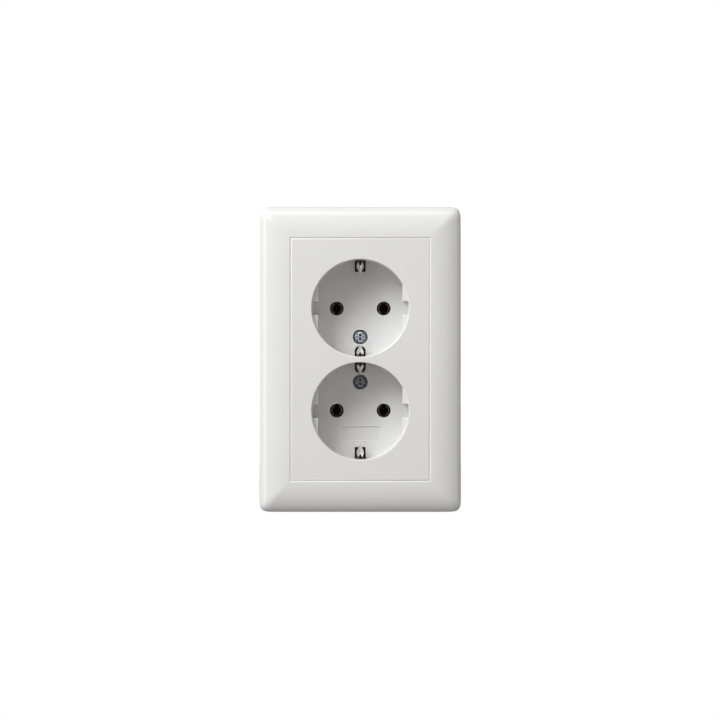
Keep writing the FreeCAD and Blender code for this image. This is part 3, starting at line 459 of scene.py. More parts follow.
def build_materials():
    plastic("frame_plastic", (0.815, 0.814, 0.806), 0.10, grain=0.03, grain_scale=700.0, dust_and_shade_weight=0.02, spread=0.02)
    plastic("plate_plastic", (0.800, 0.797, 0.787), 0.33, grain=0.10, grain_scale=1500.0, dust_and_shade_weight=0.08, recess_shade=0.95, edge_highlight=1.0)
    # thermoset of the insert: matt, speckled with filler
    t = plastic("insert_plastic", (0.60, 0.61, 0.60), 0.55, grain=0.35, grain_scale=1100.0, dust_and_shade_weight=0.30, dust_and_shade=(0.32, 0.31, 0.29))
    specks = t.span(t.noise(2600.0, 2.0, 0.7), 0.62, 0.72, 0.0, 0.35, True)
    t.link(t.mix(specks, t.bsdf.inputs["Base Color"].links[0].from_socket, (0.78, 0.79, 0.78)), t.bsdf.inputs["Base Color"])
    # painted shade: the insert is darkened to near black round the axes of the four pin holes, seen at the bottom of
    # the holes
    t.link(t.mix(near_pins(t, 0.0034, 0.0041), t.bsdf.inputs["Base Color"].links[0].from_socket, (0.040, 0.036, 0.033)), t.bsdf.inputs["Base Color"])
    plastic("rear_plastic", (0.74, 0.74, 0.70), 0.45, grain=0.30, grain_scale=900.0, dust_and_shade_weight=0.25, dust_and_shade=(0.38, 0.36, 0.32))

    # galvanised sheet: spangle cells that differ in shade and gloss
    t = Tree("ring_steel")
    big = t.cells(170.0)
    tone = t.add("ShaderNodeSeparateColor")
    t.link(big.outputs["Color"], tone.inputs[0])
    cloud = t.noise(60.0, 4.0, 0.6)
    base = t.ramp(tone.outputs[0], [(0.0, (0.50, 0.53, 0.56)), (0.5, (0.62, 0.65, 0.68)), (1.0, (0.76, 0.79, 0.81))])
    white = t.span(cloud, 0.52, 0.72, 0.0, 0.35, True)
    t.put(
        Base_Color=t.mix(white, base, (0.72, 0.73, 0.74)),
        Metallic=t.span(white, 0.0, 0.35, 1.0, 0.75),
        Roughness=t.math("ADD", t.span(tone.outputs[1], 0.0, 1.0, 0.26, 0.46), t.span(cloud, 0.3, 0.7, -0.04, 0.10)),
    )
    t.bump(t.cells(170.0, feature="DISTANCE_TO_EDGE").outputs["Distance"], 0.05, 0.0002)
    t.bump(t.noise(1300.0, 3.0), 0.12, 0.00004)
    MATERIALS["ring_steel"] = t.m

    # painted shade: narrow gaps such as the drive cuts of the screw heads are darkened to near black
    t = metal("zinc_steel", (0.76, 0.84, 0.92), (0.56, 0.62, 0.70), 0.56, scale=380.0, brushed=(1.0, 1.0, 1.0), grain=0.12, gap_shade=(0.012, 0.024, 0.034))
    # painted shade: the head of the lower plate screw, which sits in the shade of the lower well, is darkened
    low = t.math("MULTIPLY", t.span(t.axis(2), -0.0064, -0.0056, 1.0, 0.0, True), t.span(t.axis(2), -0.0132, -0.0124, 0.0, 1.0, True))
    lower_head_shade = t.math("MULTIPLY", low, t.span(t.axis(1), -0.0031, -0.0026, 0.46, 0.0, True))
    t.link(t.mix(lower_head_shade, t.bsdf.inputs["Base Color"].links[0].from_socket, (0.10, 0.12, 0.15)), t.bsdf.inputs["Base Color"])
    metal("claw_steel", (0.80, 0.72, 0.50), (0.52, 0.46, 0.36), 0.34, scale=210.0, brushed=(1.0, 0.1, 1.0), grain=0.2)
    t = metal("contact_brass", (0.92, 0.76, 0.48), (0.62, 0.45, 0.26), 0.30, scale=190.0, brushed=(1.0, 1.0, 0.05), grain=0.2)
    # painted shade: the inside of the four contact sleeves is darkened to near black behind their front ends, where the
    # pin holes lie in shade
    sleeve_shade = t.math("MULTIPLY", near_pins(t, 0.0021, 0.0027), t.span(t.axis(1), 0.0002, 0.0014, 0.0, 1.0, True))
    t.link(t.mix(sleeve_shade, t.bsdf.inputs["Base Color"].links[0].from_socket, (0.026, 0.014, 0.009)), t.bsdf.inputs["Base Color"])
    # painted shade: the clips and strap are darkened to brown deeper than about 9 mm in front of the wall and to near
    # black behind the plate's floor, fading out at the strap's back; narrow gaps are darkened too
    metal("clip_nickel", (0.98, 0.96, 0.91), (0.80, 0.75, 0.66), 0.34, scale=240.0, brushed=(1.0, 0.08, 1.0), grain=0.15,
          shade_by_depth=[(1, -0.0105, -0.0086, (0.24, 0.175, 0.115), -0.0021, -0.0015), (1, -0.0046, -0.0034, (0.062, 0.048, 0.038), -0.0021, -0.0015)],
          gap_shade=(0.09, 0.066, 0.048), gap_size=0.0012, gap_span=(0.12, 0.5))
    metal("spring_steel", (0.62, 0.63, 0.66), (0.36, 0.36, 0.38), 0.30, scale=300.0, brushed=(0.1, 1.0, 1.0), grain=0.15)


build_materials()


# ----------------------------------------------------------------- cover frame
CORNER = 9.0      # how far from a corner its outline starts to bend
POWER = 5.7


def corner_points(a, steps=26):
    """One corner as offsets from the two straight sides, by normal angle."""
    out = []
    for k in range(steps + 1):
        s = k / steps
        phi = math.radians(90.0 * (0.5 - 0.5 * math.cos(math.pi * s)) * 0.5 + 45.0 * s)
        if k == 0:
            px, pz = a, 0.0
        elif k == steps:
            px, pz = 0.0, a
        elif phi <= math.pi / 4:
            r = math.tan(phi) ** (1 / (POWER - 1))
            px = a / (1 + r**POWER) ** (1 / POWER)
            pz = px * r
        else:
            r = math.tan(math.pi / 2 - phi) ** (1 / (POWER - 1))
            pz = a / (1 + r**POWER) ** (1 / POWER)
            px = pz * r
        out.append((px, pz))
    return out


def contour(hx, hz, a):
    base = corner_points(a)
    quarter = [(hx - a + px, hz - a + pz) for px, pz in base]
    loop = list(quarter)
    loop += [(-x, z) for x, z in reversed(quarter)]
    loop += [(-x, -z) for x, z in quarter]
    loop += [(x, -z) for x, z in reversed(quarter)]
    return loop


def sweep(name, section):
    """section: (inset from the wall outline, level, corner reach) points of a closed loop."""
    kx = (HALF_W - SEAM_X) / 12.9
    kz = (HALF_T - SEAM_Z) / 12.9
    verts, faces = [], []
    for u, h, a in section:
        for x, z in contour(HALF_W - u * kx, HALF_T - u * kz, a):
            verts.append((x, -h, z))
    n = len(verts) // len(section)
    m = len(section)
    for i in range(m):
        a, b = i * n, ((i + 1) % m) * n
        for k in range(n):
            j = (k + 1) % n
            faces.append((a + k, a + j, b + j, b + k))
    return make(name, verts, faces)


def build_frame():
    seam = 12.9
    edge = EDGE_W
    ex, ey = seam - 0.25, FACE - SIDE

    def reach(u):
        """Corner reach of the outer surface: it sharpens towards the seam."""
        s = max(0.0, 1 - u / seam)
        return 0.12 + (CORNER - 0.12) * s**1.5

    sec = []
    for a in ease(4, 90, 0):
        sec.append((0.25 - 0.25 * math.sin(math.pi / 2 - a), 0.25 - 0.25 * math.sin(a), CORNER))
    sec = [(0.25 * (1 - math.cos(w)), 0.25 * (1 - math.sin(w)), CORNER) for w in ease(4, 90, 0)]
    sec = [(u, h, a) for u, h, a in sec]
    for h in (4.0, 9.0, 14.0, 17.0):
        sec.append((0.25 * h / SIDE, h, CORNER))
    steps = 44
    for k in range(steps + 1):
        t = math.radians(90 * (k / steps) ** 1.0)
        u = seam - ex * math.cos(t)
        if u > seam - edge - 0.02:
            break
        sec.append((u, SIDE + ey * math.sin(t), reach(u)))
    flat = FACE - ey * (1 - math.sqrt(1 - (edge / ex) ** 2))
    for k in range(9):
        s = k / 8
        u = seam - edge * (1 - s)
        sec.append((u, flat - EDGE_H * s**2, reach(u)))
    # collar and ledge
    for w in ease(3, 180, 270):
        sec.append((seam + 0.25 + 0.25 * math.cos(w), LEDGE + 0.25 + 0.25 * math.sin(w), 0.2))
    for w in ease(3, 90, 0):
        sec.append((seam + 1.15 + 0.15 * math.cos(w), LEDGE - 0.15 + 0.15 * math.sin(w), 0.2))
    sec.append((seam + 1.3, LEDGE - 1.4, 0.2))
    sec.append((seam + 1.2, LEDGE - 1.5, 0.2))
    sec.append((seam - 1.4, LEDGE - 1.5, 0.6))
    sec.append((seam - 1.5, LEDGE - 1.4, 0.6))
    # underside, two millimetres behind the cushion
    under = []
    for k in range(1, 30):
        t = math.radians(3.0 * k)
        nx, ny = -math.cos(t) / ex, math.sin(t) / ey
        q = math.hypot(nx, ny)
        u = seam - ex * math.cos(t) - 2.0 * nx / q
        h = SIDE + ey * math.sin(t) - 2.0 * ny / q
        if u < seam - 1.9 and u > 2.9:
            under.append((u, h))
    under.sort()
    under = under[::-1]
    sec.append((seam - 1.5, under[0][1] - 0.25, 0.6))
    sec.append((seam - 1.75, under[0][1] - 0.03, 0.8))
    for u, h in under:
        sec.append((u, h, max(0.9, reach(u) - 1.2)))
    u1, h1 = under[-1]
    for w in ease(4, 0, 90, first=False):
        sec.append((u1 - (u1 - 2.25) * math.sin(w), h1 - (h1 - 15.6) * (1 - math.cos(w)), CORNER - 1.9))
    sec.append((2.1, 6.0, CORNER - 1.9))
    sec.append((2.0, 0.25, CORNER - 1.9))
    sec.append((1.85, 0.05, CORNER - 1.85))
    sec.append((1.7, 0.0, CORNER - 1.8))
    o = sweep("frame_shell", sec)

    # stiffening ribs between the side wall and the collar
    ribs = []
    mid = [(seam - (ex - 0.2) * math.cos(t), SIDE - 1.0 + ey * math.sin(t)) for t in ease(10, 12, 78)]

    def rib(sign, across, upright):
        prof = [(1.1, 8.0), (seam - 0.8, 8.0)] + [(seam - 0.8, mid[-1][1])] + mid[::-1] + [(1.1, mid[0][1])]
        prof = [p for i, p in enumerate(prof) if i == 0 or p != prof[i - 1]]
        half = HALF_T if upright else HALF_W
        verts, faces = [], []
        for side in (-0.6, 0.6):
            for u, h in prof:
                a = sign * (half - u)
                verts.append((across + side, -h, a) if upright else (a, -h, across + side))
        n = len(prof)
        faces.append(tuple(range(n)))
        faces.append(tuple(range(2 * n - 1, n - 1, -1)))
        for k in range(n):
            j = (k + 1) % n
            faces.append((k, j, n + j, n + k))
        return make("rib", verts, faces)

    for sign in (1, -1):
        for z in (-42.0, -14.0, 14.0, 42.0):
            ribs.append(rib(sign, z, False))
        for x in (-14.0, 14.0):
            ribs.append(rib(sign, x, True))
    carve(o, merge(ribs, "ribs"), "UNION")
    return finish_piece(o, "frame_plastic", "socket", ["cover_frame"])


# ---------------------------------------------------------------- centre plate
def build_plate():
    rim = [(FACE - EDGE_H * (1 - k / 8) ** 2, EDGE_W * k / 8) for k in range(9)]
    slab = prism(
        "plate_moulding",
        rect(-PLATE_X, -PLATE_Z, PLATE_X, PLATE_Z),
        rounded_levels(LEDGE + 0.0, LEDGE + 1.0, 0.12, 0.0, 3) + rim,
    )
    inner = prism("cut", fillet(rect(-26.15, -46.9, 26.15, 46.9), 1.2, 5), [(LEDGE - 1, 0.0), (FACE - 2.4, 0.0), (FACE - 2.12, 0.1), (FACE - 2.0, 0.4)])
    carve(slab, inner)
    # pots, webs and screw bosses at the back
    for s in (1, -1):
        pot = lathe(
            "pot",
            [(0, BACK), (20.6, BACK), (20.88, BACK + 0.12), (21.0, BACK + 0.4), (21.0, FACE - 1.2), (0, FACE - 1.2)],
            0, s * WELL_Z, 160,
        )
        carve(slab, pot, "UNION")
    for z in (-38.0, 0.0, 38.0):
        carve(slab, prism("web", rect(-26.9, z - 0.6, 26.9, z + 0.6), [(LEDGE + 0.3, 0.0), (FACE - 1.1, 0.0)]), "UNION")
    for s in (1, -1):
        boss = lathe("boss", [(0, STRAP_FRONT), (3.95, STRAP_FRONT), (4.2, STRAP_FRONT + 0.25), (4.2, FLOOR - 0.8), (0, FLOOR - 0.8)], 0, s * FIX_Z, 64)
        carve(slab, boss, "UNION")
    # wells, with two side flats each, and a notch at mid height in each flat
    rim = 0.34
    for s in (1, -1):
        prof = [(0, FLOOR)]
        prof += [(WELL_R - 0.35 + 0.35 * math.sin(w), FLOOR + 0.35 - 0.35 * math.cos(w)) for w in ease(4, 0, 90)]
        prof += [(WELL_R + rim - rim * math.cos(w), FACE - rim + rim * math.sin(w)) for w in ease(8, 0, 90)]
        prof += [(WELL_R + rim, FACE + 2), (0, FACE + 2)]
        cutter = lathe("well", prof, 0, s * WELL_Z, 224)
        for side in (1, -1):
            for up in (1, -1):
                loop = rect(17.0, 2.8, 23.0, 11.5)
                loop = [(side * x, s * WELL_Z + up * z) for x, z in loop]
                carve(cutter, prism("flat", loop, rounded_levels(FLOOR - 1.6, 20.5, 0.0, 0.32, 5)))
        carve(slab, cutter)
    cuts = []
    # pin holes with a small lead-in
    for s in (1, -1):
        for side in (1, -1):
            lead = [(2.8, FLOOR - 0.22), (2.83, FLOOR - 0.11), (2.92, FLOOR - 0.03), (3.04, FLOOR)]
            cuts.append(lathe("pin", [(0, BACK - 1), (2.8, BACK - 1)] + lead + [(3.04, FLOOR + 0.6), (0, FLOOR + 0.6)], side * PIN_X, s * WELL_Z, 72))
    # screw recesses with their holes
    for s in (1, -1):
        lead = [(3.0 + 0.2 - 0.2 * math.cos(w), FLOOR - 0.2 + 0.2 * math.sin(w)) for w in ease(3, 0, 90)]
        cuts.append(lathe("recess", [(0, 0.0), (1.7, 0.0), (1.7, 3.4), (2.3, 3.4), (2.3, 2.5), (2.98, 2.5), (3.0, 2.6)] + lead + [(3.2, FLOOR + 0.6), (0, FLOOR + 0.6)], 0, s * FIX_Z, 64))
    # slots of the earth clips
    for s in (1, -1):
        z0, z1 = s * (WELL_Z + WELL_R - 4.7), s * (WELL_Z + WELL_R + 0.4)
        loop = fillet(rect(-2.2, min(z0, z1), 2.2, max(z0, z1)), 0.25, 3)
        cuts.append(prism("slot", loop, [(BACK - 1, 0.0), (FLOOR - 0.12, 0.0), (FLOOR, -0.1), (FLOOR + 0.25, -0.1)]))
        c = s * (WELL_Z - WELL_R + 2.2)
        a = ease(14, 0, 180)
        loop = [(2.2 * math.cos(w), c + s * 2.2 * math.sin(w)) for w in a]
        loop += [(-2.2, s * (WELL_Z - WELL_R - 0.4)), (2.2, s * (WELL_Z - WELL_R - 0.4))]
        cuts.append(prism("slot", loop, [(BACK - 1, 0.0), (FLOOR - 0.12, 0.0), (FLOOR, -0.1), (FLOOR + 0.25, -0.1)]))
    # bare shallow panel in the lower well
    cz = -WELL_Z - 9.1
    loop = fillet(rect(-8.0, cz - 2.8, 8.0, cz + 2.8), 0.3, 4)
    cuts.append(prism("panel", loop, [(FLOOR - 0.5, 0.05), (FLOOR - 0.45, 0.0), (FLOOR + 0.3, 0.0)]))
    carve(slab, merge(cuts, "cuts"))
    return finish_piece(slab, "plate_plastic", "socket", ["centre_plate"])


# ----------------------------------------------------------------------- screws
def screw(name, cx, cz, seat, head_r, head_h, shank_r, length, rear=False, drive="cross", pitch=0.6, plain=0.6, n=40):
    """A pan head screw with a turned thread, along Y, as one skin."""
    way = -1.0 if rear else 1.0
    top = head_h
    r0 = head_r
    edge = min(0.55 * head_h, 0.8)
    prof = [(0.0, top, 0), (r0 * 0.45, top - 0.02, 0), (r0 * 0.72, top - 0.07, 0)]
    for w in ease(6, 78, 0):
        prof.append((r0 - edge + edge * math.cos(w), top - 0.09 - edge + edge * math.sin(w), 0))
    prof += [(r0, 0.12, 0), (r0 - 0.1, 0.0, 0), (shank_r + 0.22, 0.0, 0), (shank_r * 0.94, -0.2, 0), (shank_r * 0.94, -plain, 0)]
    rows = max(8, int((length - plain - 0.8) / pitch * 8))
    for k in range(rows + 1):
        w = -plain - (length - plain - 0.8) * k / rows
        amp = min(1.0, k / 8.0)
        prof.append((shank_r, w, amp))
    prof += [(shank_r * 0.80, -length + 0.7, 0), (shank_r * 0.5, -length, 0), (0.0, -length, 0)]
    verts, faces, rings = [], [], []
    deep = 0.61 * pitch * 0.75
    for r, w, amp in prof:
        h = seat + way * w
        if r < 1e-6:
            rings.append([len(verts)])
            verts.append((cx, -h, cz))
            continue
        ids = []
        for k in range(n):
            a = 2 * math.pi * k / n
            rr = r
            if amp:
                ph = (w / pitch + k / n) % 1.0
                tri = abs(ph - 0.5) * 2
                tri = min(1.0, max(0.0, (tri - 0.12) / 0.76))
                rr = r - deep * amp * (1 - tri) - (1 - amp) * 0.06 * r
            ids.append(len(verts))
            verts.append((cx + rr * math.cos(a), -h, cz + rr * math.sin(a)))
        rings.append(ids)
    for A, B in zip(rings, rings[1:]):
        for k in range(n):
            j = (k + 1) % n
            if len(A) == 1:
                faces.append((A[0], B[k], B[j]))
            elif len(B) == 1:
                faces.append((A[k], A[j], B[0]))
            else:
                faces.append((A[k], A[j], B[j], B[k]))
    o = make(name, verts, faces)

    def wedge(long, wide, deep_, spin, taper=0.5, narrow=0.75, off=(0.0, 0.0)):
        """A tapered bar that cuts one arm pair of the drive."""
        c, s = math.cos(spin), math.sin(spin)
        v = []
        for w, kl, kw in ((top + 0.3, 1.06, 1.06), (top - deep_ * 0.45, (1 + taper) / 2 + 0.1, 0.95), (top - deep_, taper, narrow)):
            for lx, lz in ((-1, -1), (1, -1), (1, 1), (-1, 1)):
                x, z = lx * long * kl + off[0], lz * wide * kw + off[1]
                v.append((cx + x * c - z * s, -(seat + way * w), cz + x * s + z * c))
        f = [(3, 2, 1, 0), (8, 9, 10, 11)]
        for i in (0, 4):
            for k in range(4):
                j = (k + 1) % 4
                f.append((i + k, i + j, i + 4 + j, i + 4 + k))
        return make("arm", v, f)

    if drive == "cross":
        r = head_r

        def cut(points, depth, n=1):
            """A straight-sided cut of the given outline, turned n times round the axis."""
            for q in range(n):
                w = 2 * math.pi * q / n
                c, k = math.cos(w), math.sin(w)
                loop = turned([(cx + x * c - z * k, cz + x * k + z * c) for x, z in points])
                lo, hi = sorted((seat + way * (top - depth), seat + way * (top + 0.4)))
                low, high = (0.03, 0.0) if way > 0 else (0.0, 0.03)
                carve(o, prism("arm", loop, [(lo, low), (hi, high)]))

        # wings above and below, a short bar each side, and four marks between
        cut([(-0.32 * r, 0.13 * r), (0.32 * r, 0.13 * r), (0.05 * r, 0.64 * r), (-0.05 * r, 0.64 * r)], head_h * 0.5, 2)
        cut([(0.30 * r, -0.095 * r), (0.50 * r, -0.065 * r), (0.76 * r, -0.105 * r), (0.76 * r, 0.105 * r), (0.50 * r, 0.065 * r), (0.30 * r, 0.095 * r)], head_h * 0.62, 2)
        cut([(0.13 * r * math.cos(w), 0.26 * r * math.sin(w)) for w in ease(12, 0, 330)], head_h * 0.16)
        d = math.sqrt(0.5)
        mark = [(-0.21 * r, 0.60 * r), (0.21 * r, 0.60 * r), (0.21 * r, 0.79 * r), (-0.21 * r, 0.79 * r)]
        cut([(x * d - z * d, x * d + z * d) for x, z in mark], head_h * 0.5, 4)
    elif drive == "slot":
        carve(o, wedge(head_r * 1.3, head_r * 0.15, head_h * 0.5, math.pi / 2, taper=1.0, narrow=0.92))
    return o


def build_screws():
    for name, s in (("upper_plate_screw", 1), ("lower_plate_screw", -1)):
        o = screw("screw_" + name, 0, s * FIX_Z, FLOOR - 2.1, 2.42, 1.9, 1.5, 8.4)
        finish_piece(o, "zinc_steel", "socket", [name], sharp=30.0)
    rs = [screw("rs", s * 21.5, t * 9.6, 1.0, 2.2, 1.4, 1.2, 9.0, pitch=0.9) for s in (1, -1) for t in (1, -1)]
    finish_piece(merge(rs, "screws_of_the_ring"), "zinc_steel", "socket", ["ring_screws"], sharp=30.0)
    cs = [screw("cs", 0, t * 21.5, -22.5, 2.3, 1.5, 1.1, 8.5, rear=True, pitch=0.8) for t in (1, -1)]
    finish_piece(merge(cs, "screws_of_the_rear_cover"), "zinc_steel", "socket", ["rear_cover_screws"], sharp=30.0)
    for side, s in (("left", -1), ("right", 1)):
        o = screw("screw_%s_claw" % side, s * 23.6, 0, 1.0, 3.1, 2.0, 1.74, 18.5, pitch=0.7, plain=2.0)
        finish_piece(o, "zinc_steel", side + "_claw_screw", [side + "_claw_screw"], sharp=30.0)
    for name, x, z in (("line", -PIN_X, 0.0), ("neutral", PIN_X, 0.0), ("earth", 0.0, -5.0)):
        o = screw("screw_%s_terminal" % name, x, z, -19.3, 3.1, 2.1, 1.74, 6.0, rear=True, drive="slot", pitch=0.7)
        finish_piece(o, "zinc_steel", "socket", [name + "_terminal_screw"], sharp=30.0)


# ------------------------------------------------------- earth strap and clips
def curve(points, s):
    """Smooth value through (position, value) points."""
    if s <= points[0][0]:
        return points[0][1]
    for i in range(len(points) - 1):
        (a, va), (b, vb) = points[i], points[i + 1]
        if s <= b:
            p0 = points[max(0, i - 1)]
            p3 = points[min(len(points) - 1, i + 2)]
            ma = (vb - p0[1]) / (b - p0[0]) * (b - a)
            mb = (p3[1] - va) / (p3[0] - a) * (b - a)
            u = (s - a) / (b - a)
            return (2 * u**3 - 3 * u**2 + 1) * va + (u**3 - 2 * u**2 + u) * ma + (3 * u**2 - 2 * u**3) * vb + (u**3 - u**2) * mb
    return points[-1][1]


def clip(t, way, reach, lip, spread):
    """One earth clip: sheet folded along its middle, with a nose that stands
    into the well and a lip that leans back at the top."""
    nose = [(1.6, reach + 1.9), (4.0, reach + 1.75), (7.5, reach + 1.2), (10.0, reach + 0.4), (11.3, reach + 0.02), (12.0, reach + 0.25), (13.0, reach + 1.05)]
    nose += [(15.2, reach + 1.05 + 0.45 * (lip - 1.05)), (17.2, reach + 1.05 + 0.86 * (lip - 1.05)), (17.85, reach + lip + 0.32)]
    half = [(1.6, 1.43), (12.0, 1.42), (16.0, 1.36), (17.85, 1.12)]
    fold = [(1.6, 1.5), (7.0, 2.0), (11.8, 2.6), (14.5, 0.4 * 2.6 + 0.6 * spread), (17.85, spread)]
    sheet = 0.50
    cols, rows = 20, 56
    grid = []
    for j in range(rows + 1):
        h = 1.6 + 15.4 * j / 44 if j <= 44 else 17.0 + 0.85 * (j - 44) / (rows - 44)
        row = []
        for i in range(cols + 1):
            p = -1 + 2 * i / cols
            v = (math.sqrt(p * p + 0.035) - math.sqrt(0.035)) / (math.sqrt(1.035) - math.sqrt(0.035))
            row.append(Vector((p * curve(half, h), h, min(18.9, curve(nose, h) + v * curve(fold, h)))))
        grid.append(row)

    def normal(j, i):
        a = grid[min(rows, j + 1)][i] - grid[max(0, j - 1)][i]
        b = grid[j][min(cols, i + 1)] - grid[j][max(0, i - 1)]
        n = a.cross(b).normalized()
        return n if n.z > 0 else -n

    verts, faces = [], []

    def place(p):
        verts.append((p.x, -p.y, t * (WELL_Z + way * p.z)))
        return len(verts) - 1

    outer = [[place(p) for p in row] for row in grid]
    inner = [[place(grid[j][i] + normal(j, i) * sheet) for i in range(cols + 1)] for j in range(rows + 1)]
    for g in (outer, inner):
        for j in range(rows):
            for i in range(cols):
                faces.append((g[j][i], g[j][i + 1], g[j + 1][i + 1], g[j + 1][i]))
    for i in range(cols):
        for j in (0, rows):
            faces.append((outer[j][i], outer[j][i + 1], inner[j][i + 1], inner[j][i]))
    for j in range(rows):
        for i in (0, cols):
            faces.append((outer[j][i], outer[j + 1][i], inner[j + 1][i], inner[j][i]))
    o = make("clip", verts, faces)
    # two legs behind the fold
    for side in (1, -1):
        z0, z1 = t * (WELL_Z + way * 18.3), t * (WELL_Z + way * 19.25)
        leg = prism("leg", fillet(rect(min(side * 0.25, side * 1.4), min(z0, z1), max(side * 0.25, side * 1.4), max(z0, z1)), 0.16, 3), rounded_levels(1.6, 8.6, 0.0, 0.12, 3))
        o = merge([o, leg], "clip")
    return o


def build_strap():
    loop = fillet(rect(-4.5, -40.6, 4.5, 40.6), 1.2, 5)
    strap = prism("earth_strap_sheet", loop, rounded_levels(STRAP_BACK, STRAP_FRONT, 0.12, 0.12, 3))
    for t in (1, -1):
        carve(strap, lathe("hole", [(0, 0), (1.75, 0), (1.75, 1.3), (1.6, 1.5), (1.6, 3), (0, 3)], 0, t * FIX_Z, 32))
    carve(strap, prism("hole", rect(-2.5, -0.6, 2.5, 0.6), [(0.5, 0.0), (3.0, 0.0)]))
    clips = [clip(1, 1, 13.80, 1.6, 2.3), clip(1, -1, 14.90, 1.75, 1.3), clip(-1, -1, 14.95, 1.75, 1.3), clip(-1, 1, 13.75, 2.5, 1.5)]
    o = merge([strap] + clips, "earth_strap_sheet")
    return finish_piece(o, "clip_nickel", "socket", ["earth_strap"], sharp=32.0)


# ------------------------------------------------ the other pieces of the insert
def lips(x):
    """The front ends of the contact leaves behind the two pin holes at x."""
    out = []
    for t in (1, -1):
        for side in (0.0, math.pi):
            prof = [(1.92, -4.6), (1.92, 0.9), (1.95, 1.0), (2.07, 1.0), (2.10, 0.9), (2.10, 0.1), (2.10, -4.6)]
            n = 22
            verts, faces = [], []
            for k in range(n + 1):
                w = side + math.radians(-64 + 128 * k / n)
                for r, h in prof:
                    verts.append((x + r * math.cos(w), -h, t * WELL_Z + r * math.sin(w)))
            m = len(prof)
            for k in range(n):
                for i in range(m):
                    j = (i + 1) % m
                    faces.append((k * m + i, k * m + j, (k + 1) * m + j, (k + 1) * m + i))
            faces.append(tuple(range(m)))
            faces.append(tuple(range(n * m + m - 1, n * m - 1, -1)))
            out.append(make("lip", verts, faces))
    return out


def folded(me):
    """How many polygons would be filled with overlapping triangles."""
    me.calc_loop_triangles()
    filled = {}
    for t in me.loop_triangles:
        filled[t.polygon_index] = filled.get(t.polygon_index, 0.0) + t.area
    return sum(1 for p in me.polygons if len(p.vertices) > 4 and filled[p.index] > p.area * 1.0005 + 0.002)


def refine(node, body, slot, width, segments=2, angle=28.0, name=None, extra=()):
    """A finished copy of a CAD node: its edges are broken and its curved faces shaded smooth."""
    src = NODES[node]
    me = src.data.copy()
    me.transform(Matrix.Scale(1000.0, 4))
    bm = bmesh.new()
    bm.from_mesh(me)
    bmesh.ops.remove_doubles(bm, verts=bm.verts, dist=0.002)
    bmesh.ops.dissolve_limit(bm, angle_limit=math.radians(0.8), verts=bm.verts, edges=bm.edges)
    bmesh.ops.recalc_face_normals(bm, faces=bm.faces)
    bm.to_mesh(me)
    bm.free()
    for a in [a for a in me.attributes if a.name == "custom_normal"]:
        me.attributes.remove(a)
    best = None
    for share, miter in ((1.0, "MITER_ARC"), (1.0, "MITER_SHARP"), (0.7, "MITER_ARC"), (0.7, "MITER_SHARP"), (0.45, "MITER_SHARP"), (0.25, "MITER_SHARP")):
        o = bpy.data.objects.new(name or (node + "_finished"), me.copy())
        COLLECTION.objects.link(o)
        b = o.modifiers.new("edge", "BEVEL")
        b.width = width * share
        b.segments = segments
        b.limit_method = "ANGLE"
        b.angle_limit = math.radians(angle)
        b.use_clamp_overlap = True
        b.miter_outer = miter
        settle(o)
        bad = folded(o.data)
        if best is None or bad < best[0]:
            if best:
                drop(best[1])
            best = (bad, o)
        else:
            drop(o)
        if bad == 0:
            break
    o = best[1]
    o.name = name or (node + "_finished")
    bpy.data.meshes.remove(me)
    if extra:
        o = merge([o] + list(extra), o.name)
    return finish_piece(o, slot, body, [node], sharp=40.0)


def build_insert():
    refine("support_ring", "socket", "ring_steel", 0.14)
    refine("insert_base", "socket", "insert_plastic", 0.22)
    refine("rear_cover", "socket", "rear_plastic", 0.18)
    refine("line_rail", "socket", "contact_brass", 0.08, extra=lips(-PIN_X))
    refine("neutral_rail", "socket", "contact_brass", 0.08, extra=lips(PIN_X))
    refine("contact_springs", "socket", "spring_steel", 0.06)
    refine("earth_link", "socket", "contact_brass", 0.08)
    for n in ("line_clamp", "neutral_clamp", "earth_clamp"):
        refine(n, "socket", "zinc_steel", 0.12)
    for side in ("left", "right"):
        refine(side + "_claw", side + "_claw", "claw_steel", 0.12)
        refine(side + "_claw_nut", side + "_claw_nut", "zinc_steel", 0.15)
        refine(side + "_claw_rivets", "socket", "zinc_steel", 0.12)


build_frame()
build_plate()
build_screws()
build_strap()
build_insert()


# ------------------------------------------------------------------------- stage
def flat_material(name, colour, glow, rough=0.8):
    t = Tree(name)
    t.put(Base_Color=t.mix(t.span(t.noise(14.0, 4.0), 0.3, 0.7), colour, scaled(colour, 0.985)), Roughness=rough)
    t.put(Emission_Color=(1.0, 1.0, 1.0), Emission_Strength=glow)
    return t.m


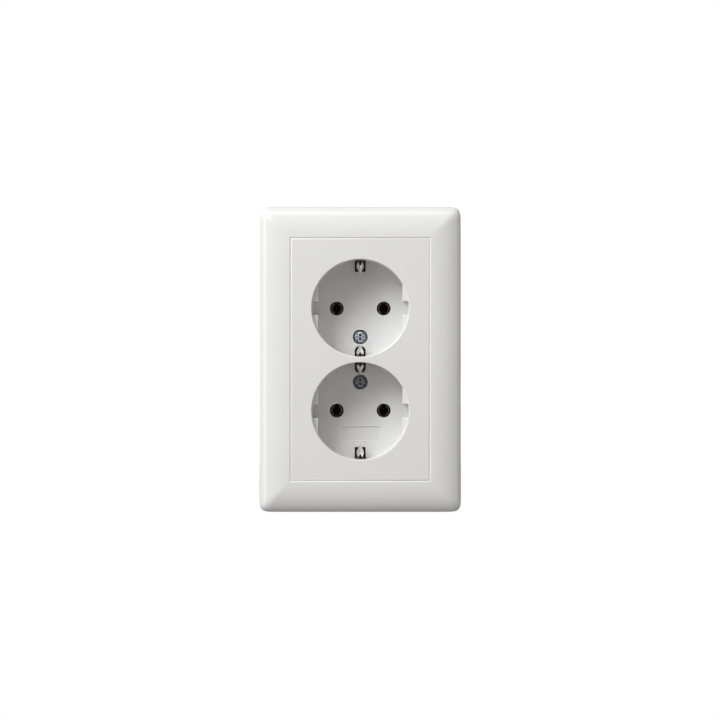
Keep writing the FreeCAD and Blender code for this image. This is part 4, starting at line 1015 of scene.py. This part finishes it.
def build_stage():
    n = 96
    verts = [(0.0, 0.0, -0.20)]
    faces = []
    for r in (0.15, 0.30, 0.42, 0.45):
        for k in range(n):
            a = 2 * math.pi * k / n
            verts.append((r * math.cos(a), r * math.sin(a), -0.20))
    for k in range(n):
        j = (k + 1) % n
        faces.append((0, 1 + k, 1 + j))
        for ring in range(3):
            a, b = 1 + ring * n, 1 + (ring + 1) * n
            faces.append((a + k, b + k, b + j, a + j))
    floor = make("studio_floor", verts, faces)
    floor.data.materials.append(flat_material("studio_floor", (0.9, 0.9, 0.9), 0.35))

    bm = bmesh.new()
    bmesh.ops.create_uvsphere(bm, u_segments=48, v_segments=24, radius=3.2)
    me = bpy.data.meshes.new("studio_backdrop")
    bm.to_mesh(me)
    bm.free()
    backdrop = bpy.data.objects.new("studio_backdrop", me)
    COLLECTION.objects.link(backdrop)
    m = bpy.data.materials.new("studio_backdrop")
    m.use_nodes = True
    m.node_tree.nodes.clear()
    out = m.node_tree.nodes.new("ShaderNodeOutputMaterial")
    glow = m.node_tree.nodes.new("ShaderNodeEmission")
    glow.inputs["Strength"].default_value = 1.0
    m.node_tree.links.new(glow.outputs[0], out.inputs[0])
    me.materials.append(m)
    for piece in (floor, backdrop):
        for flag in ("visible_diffuse", "visible_glossy", "visible_transmission", "visible_volume_scatter", "visible_shadow"):
            setattr(piece, flag, False)


def area(name, direction, distance, size, power, colour=(1, 1, 1), target=(0, -0.02, 0), shape="RECTANGLE", spin=0.0):
    d = Vector(direction).normalized()
    light = bpy.data.lights.new(name, "AREA")
    light.shape = shape
    light.size, light.size_y = size
    light.energy = power
    light.color = colour
    o = bpy.data.objects.new(name, light)
    o.location = Vector(target) + d * distance
    q = (-d).to_track_quat("-Z", "Y")
    o.rotation_mode = "QUATERNION"
    o.rotation_quaternion = q
    o.visible_camera = False
    COLLECTION.objects.link(o)
    return o


def toward(az, el):
    """A direction in front of the socket: az to the viewer's right, el up, in degrees."""
    a, e = math.radians(az), math.radians(el)
    return (math.sin(a) * math.cos(e), -math.cos(a) * math.cos(e), math.sin(e))


def build_light():
    area("key", toward(-42, 36), 1.2, (0.62, 0.62), 11.1, (0.955, 0.985, 1.0))
    area("side", toward(-63, 0), 1.0, (0.28, 1.1), 1.9)
    area("top", toward(0, 60), 1.0, (1.7, 0.32), 3.1)
    area("right", toward(64, 0), 1.0, (0.30, 1.1), 0.62, (0.95, 0.98, 1.0))
    area("low", toward(0, -64), 1.0, (1.1, 0.30), 0.14, (0.95, 0.98, 1.0))
    # two soft lights behind the wall plane show the back
    area("back_left", (-0.46, 0.86, 0.22), 1.2, (0.7, 0.7), 3.4)
    area("back_right", (0.46, 0.86, 0.22), 1.2, (0.7, 0.7), 3.4)
    world = bpy.data.worlds.new("studio")
    bpy.context.scene.world = world
    world.use_nodes = True
    world.node_tree.nodes["Background"].inputs[0].default_value = (1.0, 0.945, 0.90, 1)
    world.node_tree.nodes["Background"].inputs[1].default_value = 0.268


def build_camera():
    cam = bpy.data.cameras.new("camera")
    cam.sensor_width = 36.0
    cam.lens = 183.75
    cam.clip_start, cam.clip_end = 0.05, 20.0
    o = bpy.data.objects.new("camera", cam)
    o.location = (-0.00008, -1.493, -0.0002)
    o.rotation_euler = (math.radians(90), 0, 0)
    COLLECTION.objects.link(o)
    bpy.context.scene.camera = o


build_stage()
build_light()
build_camera()
bpy.context.scene.view_settings.view_transform = "Standard"
bpy.context.view_layer.update()
